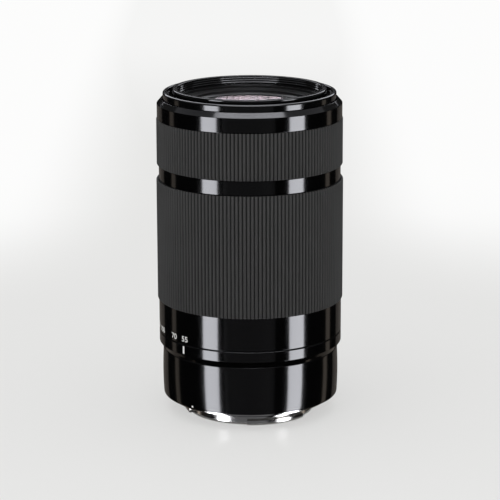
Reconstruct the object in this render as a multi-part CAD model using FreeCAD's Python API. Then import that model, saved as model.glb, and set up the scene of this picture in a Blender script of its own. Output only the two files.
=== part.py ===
"""A telephoto zoom lens for a mirrorless camera, as separate pieces at real size.

Millimetres. +Z runs along the optical axis to the front glass, and z = 0 is the face of the
flange that seats on the camera, so the bayonet lies below zero. Angles are measured about
+Z from +X, and the index mark faces -Y. The lens is drawn at its shortest setting: turning
the zoom ring by zoom_turn turns the cam barrel, whose three sets of cams push the front
barrel, the variator group and the rear carriage straight forwards along guide slots.
"""

import FreeCAD, Part
import math
import os

# Outside of the barrel from rear to front: heights of what shows
flange_thickness = 1.4
rear_cover_height = 16.6
index_bevel_height = 2.2
index_band_height = 3.55
zoom_seam = 0.25
scale_band_height = 11.4
zoom_grip_length = 41.6
ring_end_gap = 0.15
middle_band_height = 4.9
focus_grip_length = 15.7
front_band_height = 4.95
front_bevel_height = 1.6
hood_wall_height = 2.36
filter_rim_height = 1.04

# Outside radius of the grip, and how far each other band lies inside it
grip_radius = 31.9
focus_grip_step = 0.18
scale_band_step = 0.47
front_band_step = 0.42
middle_band_step = 0.9
rear_cover_step = 1.55
hood_wall_step = 2.45

# Walls and gaps between the nested barrels
grip_rubber = 0.95
sleeve_wall = 1.0
main_wall = 1.05
front_tube_wall = 1.05
cam_wall = 1.25
guide_wall = 1.05
cover_wall = 1.4
running_gap = 0.15
fit_gap = 0.03

# Rubber grips
rib_count = 152
rib_height = 0.42
rib_share = 0.52
edge_break = 0.25
fine_break = 0.15

# Bayonet and rear
index_angle = 270.0
flange_step = 2.45
bayonet_length = 4.6
bayonet_radius = 21.7
bayonet_wall = 1.5
tab_reach = 1.25
tab_thickness = 1.6
tab_sweep = 55.0
tab_count = 3
tab_lead = 70.4
baffle_ledge = 1.0
baffle_recess = 0.3
baffle_plate = 1.1
baffle_tunnel = 8.2
window_width = 25.0
window_height = 18.0
window_corner = 3.0
window_wall = 1.0
mount_screw_inset = 2.7
mount_screw_count = 4
mount_screw_radius = 0.75
mount_screw_head = 1.5
mount_screw_head_depth = 0.85
mount_screw_length = 4.6
screw_boss_radius = 2.3
screw_boss_height = 5.0
lock_hole_radius = 1.6
lock_hole_depth = 1.0
contact_count = 10
contact_pitch = 7.0
contact_radius = 0.62
contact_inset = 2.8
contact_proud = 0.2
contact_block_depth = 3.9
contact_block_reach = 4.9
contact_foot = 0.9
cover_floor = 1.2
rear_bore_step = 0.2
board_thickness = 1.0
board_inner = 17.5
# Chips on the board, each by its angle, length along the radius, width and height
chips = ((40, 7.0, 7.0, 1.0), (140, 5.0, 5.0, 0.9), (215, 4.0, 8.0, 1.6))

# Front end
hood_wall = 1.35
hood_groove_width = 1.9
filter_wall = 1.7
front_glass_step = 4.5
hood_groove_depth = 3.8
hood_lug_count = 2
hood_lug_sweep = 16.0
hood_lug_reach = 0.9
hood_lug_height = 1.1
front_web = 1.2
front_spigot_length = 5.2
front_spigot_wall = 1.65
front_seal_height = 0.9
name_seat_step = 0.4
name_seat_height = 3.0
name_ring_sunk = 0.2
name_ring_wall = 0.45
name_ring_ledge = 1.15
name_ring_inner = 0.45

# Zoom drive
zoom_turn = 60.0
key_count = 2
key_height = 3.0
key_width = 4.0
key_angle = 20.0
key_bite = 0.85
front_pin_radius = 1.5
front_cam_depth = 0.85
front_pin_angle = 100.0
guide_head_width = 4.0
guide_head_height = 5.0
guide_head_depth = 0.5
variator_travel = 8.0
variator_pin_lead = 40.0
carriage_travel = 14.0
carriage_pin_lead = 73.0
inner_pin_radius = 1.2
pin_gap = 0.1
cam_ways = 3
guide_flange = 2.0
guide_shelf = 1.2
guide_screw_radius = 0.6
guide_screw_angle = 15.0
cam_retainer_height = 1.0
sensor_sweep = 84.0
sensor_height = 3.6
sensor_thickness = 0.35
brush_sweep = 5.0
focus_scale_height = 3.0
focus_scale_thickness = 0.25
focus_sensor_width = 5.0
focus_sensor_height = 4.0

# Glass radii, and the gap round each element in its cell
front_glass_recess = 5.0
variator_glass_radius = 11.0
master_glass_radius = 10.4
stabiliser_glass_radius = 9.0
focus_glass_radius = 8.6
rear_glass_radius = 10.6
cell_gap = 0.05
cell_wall = 1.4
cell_lip = 0.75
cement_gap = 0.02

# Glass groups from front to back. An element is (space before it, thickness, front curve, rear curve),
# and a positive curve bulges to the front.
front_glass = ((0.0, 6.8, 112.0, -52.0), (cement_gap, 2.68, -52.0, -300.0), (0.3, 5.0, 62.0, 900.0))
variator_glass = ((0.0, 1.2, -70.0, 24.0), (5.2, 1.2, -28.0, 22.0), (cement_gap, 4.88, 22.0, -120.0))
master_glass = ((0.0, 3.8, 32.0, -80.0), (0.3, 5.0, 28.0, -30.0), (cement_gap, 1.28, -30.0, 120.0))
stabiliser_glass = ((0.0, 1.3, -60.0, 45.0),)
focus_glass = ((0.0, 2.78, 60.0, -28.0), (cement_gap, 1.1, -28.0, 40.0))
rear_glass = ((0.0, 3.1, 60.0, -90.0),)

# Moving groups inside the guide barrel
group_air = 2.2
frame_wall = 1.5
frame_web = 1.6
frame_ring_height = 9.0
frame_hole_radius = 3.6
carriage_plate = 1.2
carriage_tube_length = 18.5
post_count = 3
post_step = 2.3
post_radius = 1.1
post_length = 14.6
rear_plate = 1.4

# Iris
blade_count = 7
blade_thickness = 0.1
blade_pitch = 0.15
blade_width = 3.4
blade_sweep = 112.0
blade_turn = 30.0
blade_root = 2.0
iris_open_radius = 9.9
iris_pivot_circle = 15.0
iris_pin_radius = 0.4
iris_drive_arm = 2.2
iris_drive_lead = 50.0
iris_ring_turn = 20.0
iris_ring_thickness = 0.7
iris_ring_inner = 13.8
iris_ring_outer = 18.8
iris_plate = 0.8
iris_skirt = 1.0
iris_lever_step = 1.5

# Stabiliser and focus drive
stabiliser_shift = 0.6
stabiliser_plate = 1.2
stabiliser_layer = 1.3
stabiliser_gap = 0.3
stabiliser_outer = 18.5
magnet_thickness = 1.2
magnet_length = 8.0
coil_thickness = 0.5
shift_coil_inner = 12.0
shift_coil_outer = 17.6
shift_coil_wire = 1.6
magnet_inset = 0.5
focus_travel = 4.0
focus_cell_height = 6.0
focus_rod_radius = 0.75
focus_rod_step = 7.8
focus_rod_angle = 30.0
focus_sleeve_wall = 1.2
coil_step = 9.7
coil_width = 7.0
coil_wall = 1.4

# Heights, worked out from the chain of outside lengths
cover_top = flange_thickness + rear_cover_height
bevel_top = cover_top + index_bevel_height
index_top = bevel_top + index_band_height
scale_bottom = index_top + zoom_seam
zoom_grip_bottom = scale_bottom + scale_band_height
zoom_grip_top = zoom_grip_bottom + zoom_grip_length
collar_bottom = zoom_grip_top + ring_end_gap
collar_top = collar_bottom + middle_band_height
focus_grip_bottom = collar_top + ring_end_gap
focus_grip_top = focus_grip_bottom + focus_grip_length
trim_bottom = focus_grip_top + ring_end_gap
trim_shoulder = trim_bottom + front_band_height
trim_top = trim_shoulder + front_bevel_height
hood_top = trim_top + hood_wall_height
rim_top = hood_top + filter_rim_height
groove_floor = hood_top - hood_groove_depth
web_bottom = groove_floor - front_web
spigot_bottom = web_bottom - front_spigot_length
seal_top = web_bottom - running_gap
main_top = seal_top - front_seal_height
main_bottom = flange_thickness + cover_floor
name_seat_top = web_bottom + name_seat_height

# Radii, worked out from the outside in
zoom_sleeve_outer = grip_radius - grip_rubber
sleeve_inner = zoom_sleeve_outer - sleeve_wall
focus_grip_radius = grip_radius - focus_grip_step
focus_sleeve_outer = focus_grip_radius - grip_rubber
scale_radius = grip_radius - scale_band_step
band_radius = grip_radius - front_band_step
collar_radius = grip_radius - middle_band_step
cover_radius = grip_radius - rear_cover_step
flange_radius = cover_radius - flange_step
mount_screw_circle = flange_radius - mount_screw_inset
bayonet_bore = bayonet_radius - bayonet_wall
rear_bore = bayonet_radius - rear_bore_step
contact_circle = bayonet_bore - contact_inset
contact_block_inner = bayonet_bore - contact_block_reach
main_outer = sleeve_inner - running_gap
main_inner = main_outer - main_wall
neck_outer = main_outer - 1.2
neck_inner = neck_outer - cover_wall
tube_outer = main_inner - running_gap
tube_inner = tube_outer - front_tube_wall
cam_outer = tube_inner - running_gap
cam_inner = cam_outer - cam_wall
guide_outer = cam_inner - running_gap
guide_inner = guide_outer - guide_wall
frame_outer = guide_inner - running_gap
frame_inner = frame_outer - frame_wall
post_circle = frame_inner - post_step
focus_rod_circle = frame_inner - focus_rod_step
coil_inner = frame_inner - coil_step
shelf_inner = guide_inner + running_gap
guide_screw_circle = (shelf_inner + neck_inner) / 2
hood_radius = grip_radius - hood_wall_step
hood_inner = hood_radius - hood_wall
filter_outer = hood_inner - hood_groove_width
filter_thread_radius = filter_outer - filter_wall
spigot_outer = tube_inner - fit_gap
spigot_inner = spigot_outer - front_spigot_wall
name_seat_radius = filter_thread_radius - name_seat_step
front_glass_radius = filter_thread_radius - front_glass_step
cell_outer = name_seat_radius - 0.1

# The zoom drive's places along the axis
guide_bottom = scale_bottom + 0.5
guide_top = spigot_bottom - 0.5
cam_top = guide_top - cam_retainer_height - running_gap
cam_bottom = guide_bottom + guide_flange + running_gap
key_bottom = cam_bottom + 1.9
key_top = key_bottom + key_height
tube_bottom = key_top + 2.0
front_pin_z = tube_bottom + guide_head_height / 2 + 0.6
front_travel = cam_top - front_pin_z - front_pin_radius - pin_gap - 0.8
focus_sensor_z = focus_grip_top - focus_sensor_height - 2.0

AXIS = FreeCAD.Vector(0, 0, 1)
ORIGIN = FreeCAD.Vector(0, 0, 0)
FULL = 360.0


def at(radius, angle, z):
    """A point at that radius, angle in degrees and height."""
    a = math.radians(angle)
    return FreeCAD.Vector(radius * math.cos(a), radius * math.sin(a), z)


def outline(*steps):
    """A closed face in the XZ plane. A step is (r, z), or a pair of those for an arc through the first."""
    edges = []
    last = FreeCAD.Vector(steps[0][0], 0, steps[0][1])
    for step in steps[1:] + steps[:1]:
        if isinstance(step[0], tuple):
            middle, end = [FreeCAD.Vector(r, 0, z) for r, z in step]
            edges.append(Part.Arc(last, middle, end).toShape())
        else:
            end = FreeCAD.Vector(step[0], 0, step[1])
            edges.append(Part.makeLine(last, end))
        last = end
    return Part.Face(Part.Wire(edges))


def turned(*steps, sweep=FULL, start=0.0):
    """An outline turned about the lens axis."""
    solid = outline(*steps).revolve(ORIGIN, AXIS, sweep)
    solid.rotate(ORIGIN, AXIS, start)
    return solid


def tube(inner, outer, bottom, top, sweep=FULL, start=0.0):
    """A plain tube, or a sector of one."""
    corners = ((inner, bottom), (outer, bottom), (outer, top), (inner, top))
    return turned(*corners, sweep=sweep, start=start)


def peg(circle, angle, radius, bottom, top):
    """An upright round peg on a circle about the axis."""
    return Part.makeCylinder(radius, top - bottom, at(circle, angle, bottom), AXIS)


def radial_pin(radius, inner, outer, angle, z):
    """A round pin that lies along a radius of the lens."""
    return Part.makeCylinder(radius, outer - inner, at(inner, angle, z), at(1, angle, 0))


def radial_block(inner, outer, width, bottom, top, angle):
    """A rectangular block that lies along a radius of the lens."""
    corner = FreeCAD.Vector(inner, -width / 2, bottom)
    block = Part.makeBox(outer - inner, width, top - bottom, corner)
    block.rotate(ORIGIN, AXIS, angle)
    return block


def joined(*shapes):
    """One solid from shapes that meet."""
    return shapes[0].multiFuse(list(shapes[1:])).removeSplitter()


def without(shape, *tools):
    """A shape with others cut out of it."""
    return shape.cut(list(tools))


def around(shape, count):
    """Copies of a shape at even steps about the lens axis."""
    copies = []
    for i in range(count):
        copy = shape.copy()
        copy.rotate(ORIGIN, AXIS, i * FULL / count)
        copies.append(copy)
    return copies


def sag(curve, radius):
    """How far a lens surface of that curvature falls back at a radius."""
    return curve - math.copysign(math.sqrt(curve * curve - radius * radius), curve)


def surface(apex, curve, radius):
    """The height of a lens surface at a radius."""
    return apex - sag(curve, radius)


def faces(first, group):
    """The apex and curve of each surface of a glass group, whose first apex is given."""
    found = []
    apex = first
    for space, thickness, front_curve, rear_curve in group:
        apex -= space
        found.append((apex, front_curve))
        apex -= thickness
        found.append((apex, rear_curve))
    return found


def element(radius, front, rear):
    """A glass element between two surfaces, each an apex and a curve."""
    front_middle = (radius / 2, surface(*front, radius / 2))
    rear_middle = (radius / 2, surface(*rear, radius / 2))
    rear_edge = (radius, surface(*rear, radius))
    front_edge = (radius, surface(*front, radius))
    return turned((0, rear[0]), (rear_middle, rear_edge), front_edge, (front_middle, (0, front[0])))


def elements(radius, first, group):
    """The elements of a glass group, whose first apex is given."""
    found = faces(first, group)
    return [element(radius, front, rear) for front, rear in zip(found[::2], found[1::2])]


def seated(radius, ledge, group):
    """The elements of a glass group whose last one rests on the ledge of its cell."""
    curve = group[-1][-1]
    length = sum(space + thickness for space, thickness, _, _ in group)
    rear = ledge + max(sag(curve, radius), sag(curve, radius + cell_gap - cell_lip)) + fit_gap
    return elements(radius, rear + length, group)


def cell(radius, bottom, ledge, top):
    """A tube that holds glass of that radius, with a ledge at its rear."""
    bore = radius + cell_gap
    return turned(
        (bore - cell_lip, bottom), (bore + cell_wall, bottom), (bore + cell_wall, top), (bore, top),
        (bore, ledge), (bore - cell_lip, ledge),
    )


def save(node, *solids):
    """Writes the solids of one node to a file of its own."""
    shape = solids[0] if len(solids) == 1 else Part.makeCompound(list(solids))
    shape.exportStep(f"parts/{node}.step")


# Bayonet, rear baffle and contacts

screw_angle = index_angle + 30
ledge_inner = bayonet_bore - baffle_ledge
contact_sweep = contact_pitch * (contact_count + 1)
contact_start = index_angle + 180 - contact_sweep / 2


def mount_ring():
    """Chromed bayonet: a flange with a neck and three tabs, drilled for its screws and lock pin."""
    body = turned(
        (bayonet_bore, -bayonet_length), (bayonet_radius, -bayonet_length), (bayonet_radius, 0),
        (flange_radius - edge_break, 0), (flange_radius, edge_break), (flange_radius, flange_thickness),
        (ledge_inner, flange_thickness), (ledge_inner, -baffle_recess), (bayonet_bore, -baffle_recess),
    )
    tab_top = tab_thickness - bayonet_length
    tab_outer = bayonet_radius + tab_reach
    tab = turned(
        (bayonet_radius - 0.5, -bayonet_length), (tab_outer - edge_break, -bayonet_length),
        (tab_outer, edge_break - bayonet_length), (tab_outer, tab_top), (bayonet_radius - 0.5, tab_top),
        sweep=tab_sweep, start=index_angle + tab_lead - tab_sweep / 2,
    )
    hole = peg(mount_screw_circle, screw_angle, mount_screw_radius + fit_gap, -1, flange_thickness + 1)
    sink = Part.makeCone(
        mount_screw_head + fit_gap, mount_screw_radius + fit_gap, mount_screw_head_depth,
        at(mount_screw_circle, screw_angle, 0), AXIS,
    )
    lock = peg(mount_screw_circle, index_angle - 100, lock_hole_radius, -1, lock_hole_depth)
    body = joined(body, *around(tab, tab_count))
    return without(body, lock, *around(hole, mount_screw_count), *around(sink, mount_screw_count))


def mount_screws():
    """Countersunk screws that hold the bayonet and the rear cover to the main barrel."""
    sunk = 0.05
    foot = at(mount_screw_circle, screw_angle, sunk)
    head = Part.makeCone(
        mount_screw_head - sunk, mount_screw_radius, mount_screw_head_depth - sunk, foot, AXIS,
    )
    shank = peg(mount_screw_circle, screw_angle, mount_screw_radius, sunk, mount_screw_length)
    reach = mount_screw_head * 0.6
    slot = radial_block(mount_screw_circle - reach, mount_screw_circle + reach, 0.35, -1, 0.45, screw_angle)
    cross = slot.copy()
    cross.rotate(foot, AXIS, 90)
    return around(without(joined(head, shank), slot, cross), mount_screw_count)


def light_window(extra, bottom, top):
    """An upright rounded-rectangle prism, grown by extra on every side."""
    long_side = window_width + 2 * extra
    short_side = window_height + 2 * extra
    corner = FreeCAD.Vector(-short_side / 2, -long_side / 2, bottom)
    box = Part.makeBox(short_side, long_side, top - bottom, corner)
    upright = [edge for edge in box.Edges if abs(edge.tangentAt(edge.FirstParameter).z) > 0.9]
    box = box.makeFillet(window_corner + extra, upright)
    box.rotate(ORIGIN, AXIS, index_angle)
    return box


def contact_space(gap):
    """The sector that the contact block fills, grown by a gap."""
    extra = math.degrees(gap / contact_circle)
    return tube(
        contact_block_inner - gap, ledge_inner - 0.2, -contact_block_depth, flange_thickness,
        contact_sweep + 2 * extra, contact_start - extra,
    )


def rear_baffle():
    """Matt plate inside the bayonet, with a light tunnel behind a rounded window."""
    bottom = -baffle_recess - baffle_plate
    plate = Part.makeCylinder(bayonet_bore - fit_gap, baffle_plate, FreeCAD.Vector(0, 0, bottom), AXIS)
    walls = light_window(window_wall, bottom, baffle_tunnel)
    window = light_window(0, bottom - 1, baffle_tunnel + 1)
    return without(joined(plate, walls), window, contact_space(fit_gap))


def contact_angles():
    """The angle of each contact."""
    return [contact_start + (i + 1) * contact_pitch for i in range(contact_count)]


def contact_block():
    """Moulded block that carries the contacts, with a foot on the ledge of the bayonet."""
    foot = tube(
        contact_block_inner, rear_bore - 0.4, flange_thickness, flange_thickness + contact_foot,
        contact_sweep, contact_start,
    )
    well_bottom = -contact_block_depth - 1
    wells = [peg(contact_circle, a, contact_radius + fit_gap, well_bottom, 0) for a in contact_angles()]
    return without(joined(contact_space(0), foot), *wells)


def contact_pins():
    """Gold-plated contacts that stand slightly proud of the block."""
    low = -contact_block_depth - contact_proud
    return [peg(contact_circle, a, contact_radius, low, 0) for a in contact_angles()]


def rear_cover():
    """Slightly barrelled rear shell with a floor that the bayonet clamps."""
    end_radius = cover_radius - edge_break
    return turned(
        (rear_bore, flange_thickness), (end_radius - edge_break, flange_thickness),
        (end_radius, flange_thickness + edge_break),
        ((cover_radius, (flange_thickness + cover_top) / 2), (end_radius, cover_top - edge_break)),
        (end_radius - edge_break, cover_top), (neck_outer + fit_gap, cover_top),
        (neck_outer + fit_gap, main_bottom), (rear_bore, main_bottom),
    )


def drilled_cover():
    """The rear cover with its screw holes."""
    hole = peg(mount_screw_circle, screw_angle, mount_screw_radius + fit_gap, 0, main_bottom + 1)
    return without(rear_cover(), *around(hole, mount_screw_count))


def index_ring():
    """Fixed gloss ring that carries the index line, undercut towards the rear cover."""
    inner = main_outer + fit_gap
    return turned(
        (inner, cover_top), (cover_radius - edge_break, cover_top), (cover_radius + 0.2, cover_top + 0.9),
        (scale_radius, bevel_top), (scale_radius, index_top - fine_break),
        (scale_radius - fine_break, index_top), (inner, index_top),
    )


def main_board():
    """Ring-shaped circuit board on the screw bosses, with its chips and a connector."""
    bottom = main_bottom + screw_boss_height
    top = bottom + board_thickness
    board = tube(board_inner, neck_inner - 0.1, bottom, top)
    middle = (board_inner + neck_inner) / 2
    blocks = []
    for angle, length, width, height in chips:
        half = length / 2
        blocks.append(radial_block(middle - half, middle + half, width, top - 0.1, top + height, angle))
    return joined(board, *blocks)


# Fixed barrels

def slot_cut(radius, inner, outer, angle, z, travel):
    """A straight slot with round ends, along the axis, through a barrel wall."""
    ends = [radial_pin(radius, inner, outer, angle, height) for height in (z, z + travel)]
    return joined(radial_block(inner, outer, 2 * radius, z, z + travel, angle), *ends)


def main_barrel():
    """Fixed outer barrel: neck, shelf for the guide barrel, collar between the rings, guide grooves."""
    body = turned(
        (rear_bore, main_bottom), (neck_outer, main_bottom), (neck_outer, cover_top),
        (main_outer, cover_top), (main_outer, collar_bottom), (collar_radius, collar_bottom),
        (collar_radius, collar_top), (main_outer, collar_top), (main_outer, main_top),
        (main_inner, main_top), (main_inner, guide_bottom), (shelf_inner, guide_bottom),
        (shelf_inner, guide_bottom - guide_shelf), (neck_inner, guide_bottom - guide_shelf),
        (neck_inner, main_bottom + 1.4), (rear_bore, main_bottom + 1.4),
    )
    boss_top = main_bottom + screw_boss_height
    boss = peg(mount_screw_circle, screw_angle, screw_boss_radius, main_bottom, boss_top)
    body = joined(body, *around(boss, mount_screw_count))
    hole = peg(mount_screw_circle, screw_angle, mount_screw_radius + fit_gap, 0, mount_screw_length + 0.3)
    key_margin = math.degrees((key_width / 2 + pin_gap) / main_inner) + 1
    key_way = tube(
        main_inner - 1, main_outer + 1, key_bottom - pin_gap, key_top + pin_gap,
        zoom_turn + 2 * key_margin, key_angle - key_margin,
    )
    groove_bottom = front_pin_z - guide_head_height / 2 - 0.2
    groove_top = front_pin_z + front_travel + guide_head_height / 2 + 0.2
    groove = radial_block(
        main_inner - 1, main_inner + guide_head_depth + pin_gap / 2, guide_head_width + 2 * pin_gap,
        groove_bottom, groove_top, front_pin_angle,
    )
    window = radial_block(
        main_inner - 1, main_outer + 1, focus_sensor_width + 2 * fit_gap,
        focus_sensor_z - fit_gap, focus_sensor_z + focus_sensor_height + fit_gap, index_angle,
    )
    screw = guide_screw(fit_gap, guide_bottom - guide_shelf - 1, guide_bottom + 1)
    return without(
        body, window, *around(hole, mount_screw_count), *around(key_way, key_count),
        *around(groove, cam_ways), *around(screw, cam_ways),
    )


def guide_screw(gap, bottom, top):
    """The shank of a screw that comes up through the shelf into the guide barrel's flange."""
    return peg(guide_screw_circle, guide_screw_angle, guide_screw_radius + gap, bottom, top)


def guide_barrel():
    """Fixed inner barrel with straight slots, which stop the moving groups from turning."""
    body = turned(
        (guide_inner, guide_bottom), (main_inner - fit_gap, guide_bottom),
        (main_inner - fit_gap, guide_bottom + guide_flange), (guide_outer, guide_bottom + guide_flange),
        (guide_outer, guide_top), (guide_inner, guide_top),
    )
    radius = inner_pin_radius + pin_gap
    reach = (radius, guide_inner - 1, guide_outer + 1)
    variator = slot_cut(*reach, front_pin_angle + variator_pin_lead, variator_z, variator_travel)
    carriage = slot_cut(*reach, front_pin_angle + carriage_pin_lead, carriage_z, carriage_travel)
    screw = guide_screw(fit_gap, guide_bottom - 1, guide_bottom + guide_flange - 0.4)
    return without(body, *around(variator, cam_ways), *around(carriage, cam_ways), *around(screw, cam_ways))


def guide_screws():
    """Three screws under the shelf that hold the guide barrel."""
    low = guide_bottom - guide_shelf
    shank = guide_screw(0, low - 0.5, guide_bottom + guide_flange - 0.5)
    head = peg(guide_screw_circle, guide_screw_angle, guide_screw_radius * 1.5, low - 0.8, low)
    return around(joined(shank, head), cam_ways)


def cam_retaining_ring():
    """Ring on the front end of the guide barrel that keeps the cam barrel in place."""
    return tube(guide_outer + fit_gap, cam_outer - 0.05, guide_top - cam_retainer_height, guide_top)


def front_trim_ring():
    """Gloss nose ring with a bevel, pushed on the front of the main barrel."""
    inner = main_outer + fit_gap
    return turned(
        (inner, trim_bottom), (band_radius - fine_break, trim_bottom),
        (band_radius, trim_bottom + fine_break), (band_radius, trim_shoulder),
        (inner + 0.25, trim_top), (inner, trim_top),
    )


def front_seal():
    """Felt ring at the mouth of the main barrel that keeps light and dust out."""
    return tube(tube_outer + 0.1, main_outer - 0.1, main_top, seal_top)


def zoom_sensor():
    """Curved resistor strip inside the main barrel that reads the zoom position."""
    outer = main_inner - fit_gap
    middle = (key_bottom + key_top) / 2
    return tube(
        outer - sensor_thickness, outer, middle - sensor_height / 2, middle + sensor_height / 2,
        sensor_sweep, key_angle + zoom_turn + 20,
    )


def focus_sensor():
    """Magnetic reader in a window of the main barrel, under the focus ring."""
    outer = math.sqrt(main_outer ** 2 - (focus_sensor_width / 2) ** 2)
    return radial_block(
        main_inner, outer, focus_sensor_width,
        focus_sensor_z, focus_sensor_z + focus_sensor_height, index_angle,
    )


# Zoom ring and cam barrel

def grip(inner, outer, bottom, top):
    """Rubber sleeve with fine straight ribs all round."""
    pitch = FULL / rib_count
    corners = []
    for i in range(rib_count):
        crest = i * pitch
        corners.append(at(outer, crest - rib_share * pitch / 2, bottom))
        corners.append(at(outer, crest + rib_share * pitch / 2, bottom))
        corners.append(at(outer - rib_height, crest + pitch / 2, bottom))
    ribs = Part.Face(Part.makePolygon(corners + corners[:1])).extrude(AXIS * (top - bottom))
    return without(ribs, Part.makeCylinder(inner, top - bottom + 2, at(0, 0, bottom - 1), AXIS))


def zoom_ring():
    """Turning sleeve with the gloss scale band at its rear, pocketed for the two keys."""
    body = turned(
        (sleeve_inner, scale_bottom), (scale_radius - fine_break, scale_bottom),
        (scale_radius, scale_bottom + fine_break),
        (scale_radius, zoom_grip_bottom), (zoom_sleeve_outer, zoom_grip_bottom),
        (zoom_sleeve_outer, zoom_grip_top), (sleeve_inner, zoom_grip_top),
    )
    return without(body, *around(key_block(fit_gap), key_count))


def key_block(gap):
    """A drive key from the cam barrel to the zoom ring, grown by a gap."""
    return radial_block(
        cam_inner + 0.15 - gap, sleeve_inner + key_bite + gap, key_width + 2 * gap,
        key_bottom - gap, key_top + gap, key_angle,
    )


def cam_cut(radius, inner, outer, angle, z, rise):
    """The channel and ends of a helical cam, in which a pin that can't turn rises as the barrel turns."""
    middle = (inner + outer) / 2
    helix = Part.makeHelix(rise * FULL / zoom_turn, rise, middle, 0, True)
    helix.translate(FreeCAD.Vector(0, 0, z))
    start = FreeCAD.Vector(middle, 0, z)
    run = math.radians(zoom_turn) * middle
    along = FreeCAD.Vector(0, -run, rise).normalize()
    across = along.cross(FreeCAD.Vector(1, 0, 0)) * radius
    inward = FreeCAD.Vector(inner - middle, 0, 0)
    corners = [
        start + inward + across, start - inward + across, start - inward - across, start + inward - across,
    ]
    section = Part.Wire(Part.makePolygon(corners + corners[:1]))
    channel = Part.Wire(helix).makePipeShell([section], True, True)
    plunge = radius + fit_gap
    first_end = radial_pin(plunge, inner, outer, 0, z)
    last_end = radial_pin(plunge, inner, outer, -zoom_turn, z + rise)
    parts = [channel, first_end, last_end]
    for part in parts:
        part.rotate(ORIGIN, AXIS, angle)
    return parts


def cam_barrel():
    """Turning barrel with three blind outer cams and two sets of three through cams."""
    body = tube(cam_inner, cam_outer, cam_bottom, cam_top)
    floor = cam_outer - front_cam_depth
    blind = (front_pin_radius + pin_gap, floor, cam_outer + 1)
    front = cam_cut(*blind, front_pin_angle, front_pin_z, front_travel)
    through = (inner_pin_radius + pin_gap, cam_inner - 1, cam_outer + 1)
    variator = cam_cut(*through, front_pin_angle + variator_pin_lead, variator_z, variator_travel)
    carriage = cam_cut(*through, front_pin_angle + carriage_pin_lead, carriage_z, carriage_travel)
    body = without(body, *around(key_block(fit_gap), key_count))
    for tool in front + variator + carriage:
        body = without(body, *around(tool, cam_ways))
    return body


def zoom_brush():
    """Sprung wiper on the cam barrel that runs along the zoom sensor."""
    middle = (key_bottom + key_top) / 2
    inner = cam_outer + fit_gap
    outer = main_inner - fit_gap - sensor_thickness - 0.1
    return tube(inner, outer, middle - 1, middle + 1, brush_sweep, key_angle + zoom_turn + 24)


# Focus ring

def focus_ring():
    """Free-turning sleeve with a groove inside for its magnetic scale."""
    body = tube(sleeve_inner, focus_sleeve_outer, focus_grip_bottom, focus_grip_top)
    groove = tube(
        sleeve_inner - 1, sleeve_inner + focus_scale_thickness + 2 * fit_gap,
        focus_scale_z - fit_gap, focus_scale_z + focus_scale_height + fit_gap,
    )
    return body.cut(groove)


focus_scale_z = focus_sensor_z + (focus_sensor_height - focus_scale_height) / 2


def focus_scale():
    """Magnetised strip bonded in the focus ring, read by the focus sensor."""
    inner = sleeve_inner + fit_gap
    return tube(inner, inner + focus_scale_thickness, focus_scale_z, focus_scale_z + focus_scale_height)


# Front barrel and front group

front_apex = rim_top - front_glass_recess
front_faces = faces(front_apex, front_glass)
pair_front, pair_back = front_faces[0], front_faces[3]
third_front, third_back = front_faces[4:]
front_cell_lip = 0.9
front_cell_bottom = surface(*third_back, front_glass_radius) - front_cell_lip


def front_tube():
    """Inner barrel that extends, with holes for its three followers."""
    through = (front_pin_radius + fit_gap, tube_inner - 1, tube_outer + 1)
    hole = radial_pin(*through, front_pin_angle, front_pin_z)
    return without(tube(tube_inner, tube_outer, tube_bottom, web_bottom), *around(hole, cam_ways))


def front_followers():
    """Cam pins with flat heads that run in the straight grooves of the main barrel."""
    tip = cam_outer - front_cam_depth + 0.1
    pin = radial_pin(front_pin_radius, tip, tube_outer + 0.2, front_pin_angle, front_pin_z)
    sweep = math.degrees(guide_head_width / main_inner)
    half = guide_head_height / 2
    head = tube(
        tube_outer + fit_gap, main_inner + guide_head_depth - 0.1, front_pin_z - half, front_pin_z + half,
        sweep, front_pin_angle - sweep / 2,
    )
    return around(joined(pin, head), cam_ways)


def filter_ring():
    """Front ring with the bore of the filter thread, the hood groove with its lugs, and a spigot."""
    body = turned(
        (name_seat_radius, web_bottom), (name_seat_radius, name_seat_top),
        (filter_thread_radius, name_seat_top), (filter_thread_radius, rim_top - edge_break),
        (filter_thread_radius + edge_break, rim_top), (filter_outer - edge_break, rim_top),
        (filter_outer, rim_top - edge_break), (filter_outer, groove_floor), (hood_inner, groove_floor),
        (hood_inner, hood_top - edge_break), (hood_inner + edge_break, hood_top),
        (hood_radius - edge_break, hood_top), (hood_radius, hood_top - edge_break),
        (hood_radius, web_bottom), (spigot_outer, web_bottom),
        (spigot_outer, spigot_bottom), (spigot_inner, spigot_bottom),
        (spigot_inner, web_bottom),
    )
    lug_top = hood_top - 0.7
    lug = tube(
        hood_inner - hood_lug_reach, hood_inner + 0.3, lug_top - hood_lug_height, lug_top,
        hood_lug_sweep, index_angle - 44 - hood_lug_sweep / 2,
    )
    return joined(body, *around(lug, hood_lug_count))


def name_ring():
    """Black ring with a steep wall and a shallow cone, which keeps the front glass in its cell."""
    outer = name_seat_radius - fit_gap
    top = name_seat_top - name_ring_sunk
    ledge = outer - name_ring_wall - 0.5
    inner = front_glass_radius - name_ring_inner
    seat = surface(*pair_front, inner) + cell_gap
    spigot = front_glass_radius + 0.5
    return turned(
        (outer, web_bottom), (outer, top), (outer - name_ring_wall, top),
        (ledge, web_bottom + name_ring_ledge),
        (spigot, web_bottom + name_ring_ledge / 3), (inner, seat + 0.5), (inner, seat),
        (spigot, seat), (spigot, web_bottom),
    )


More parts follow.
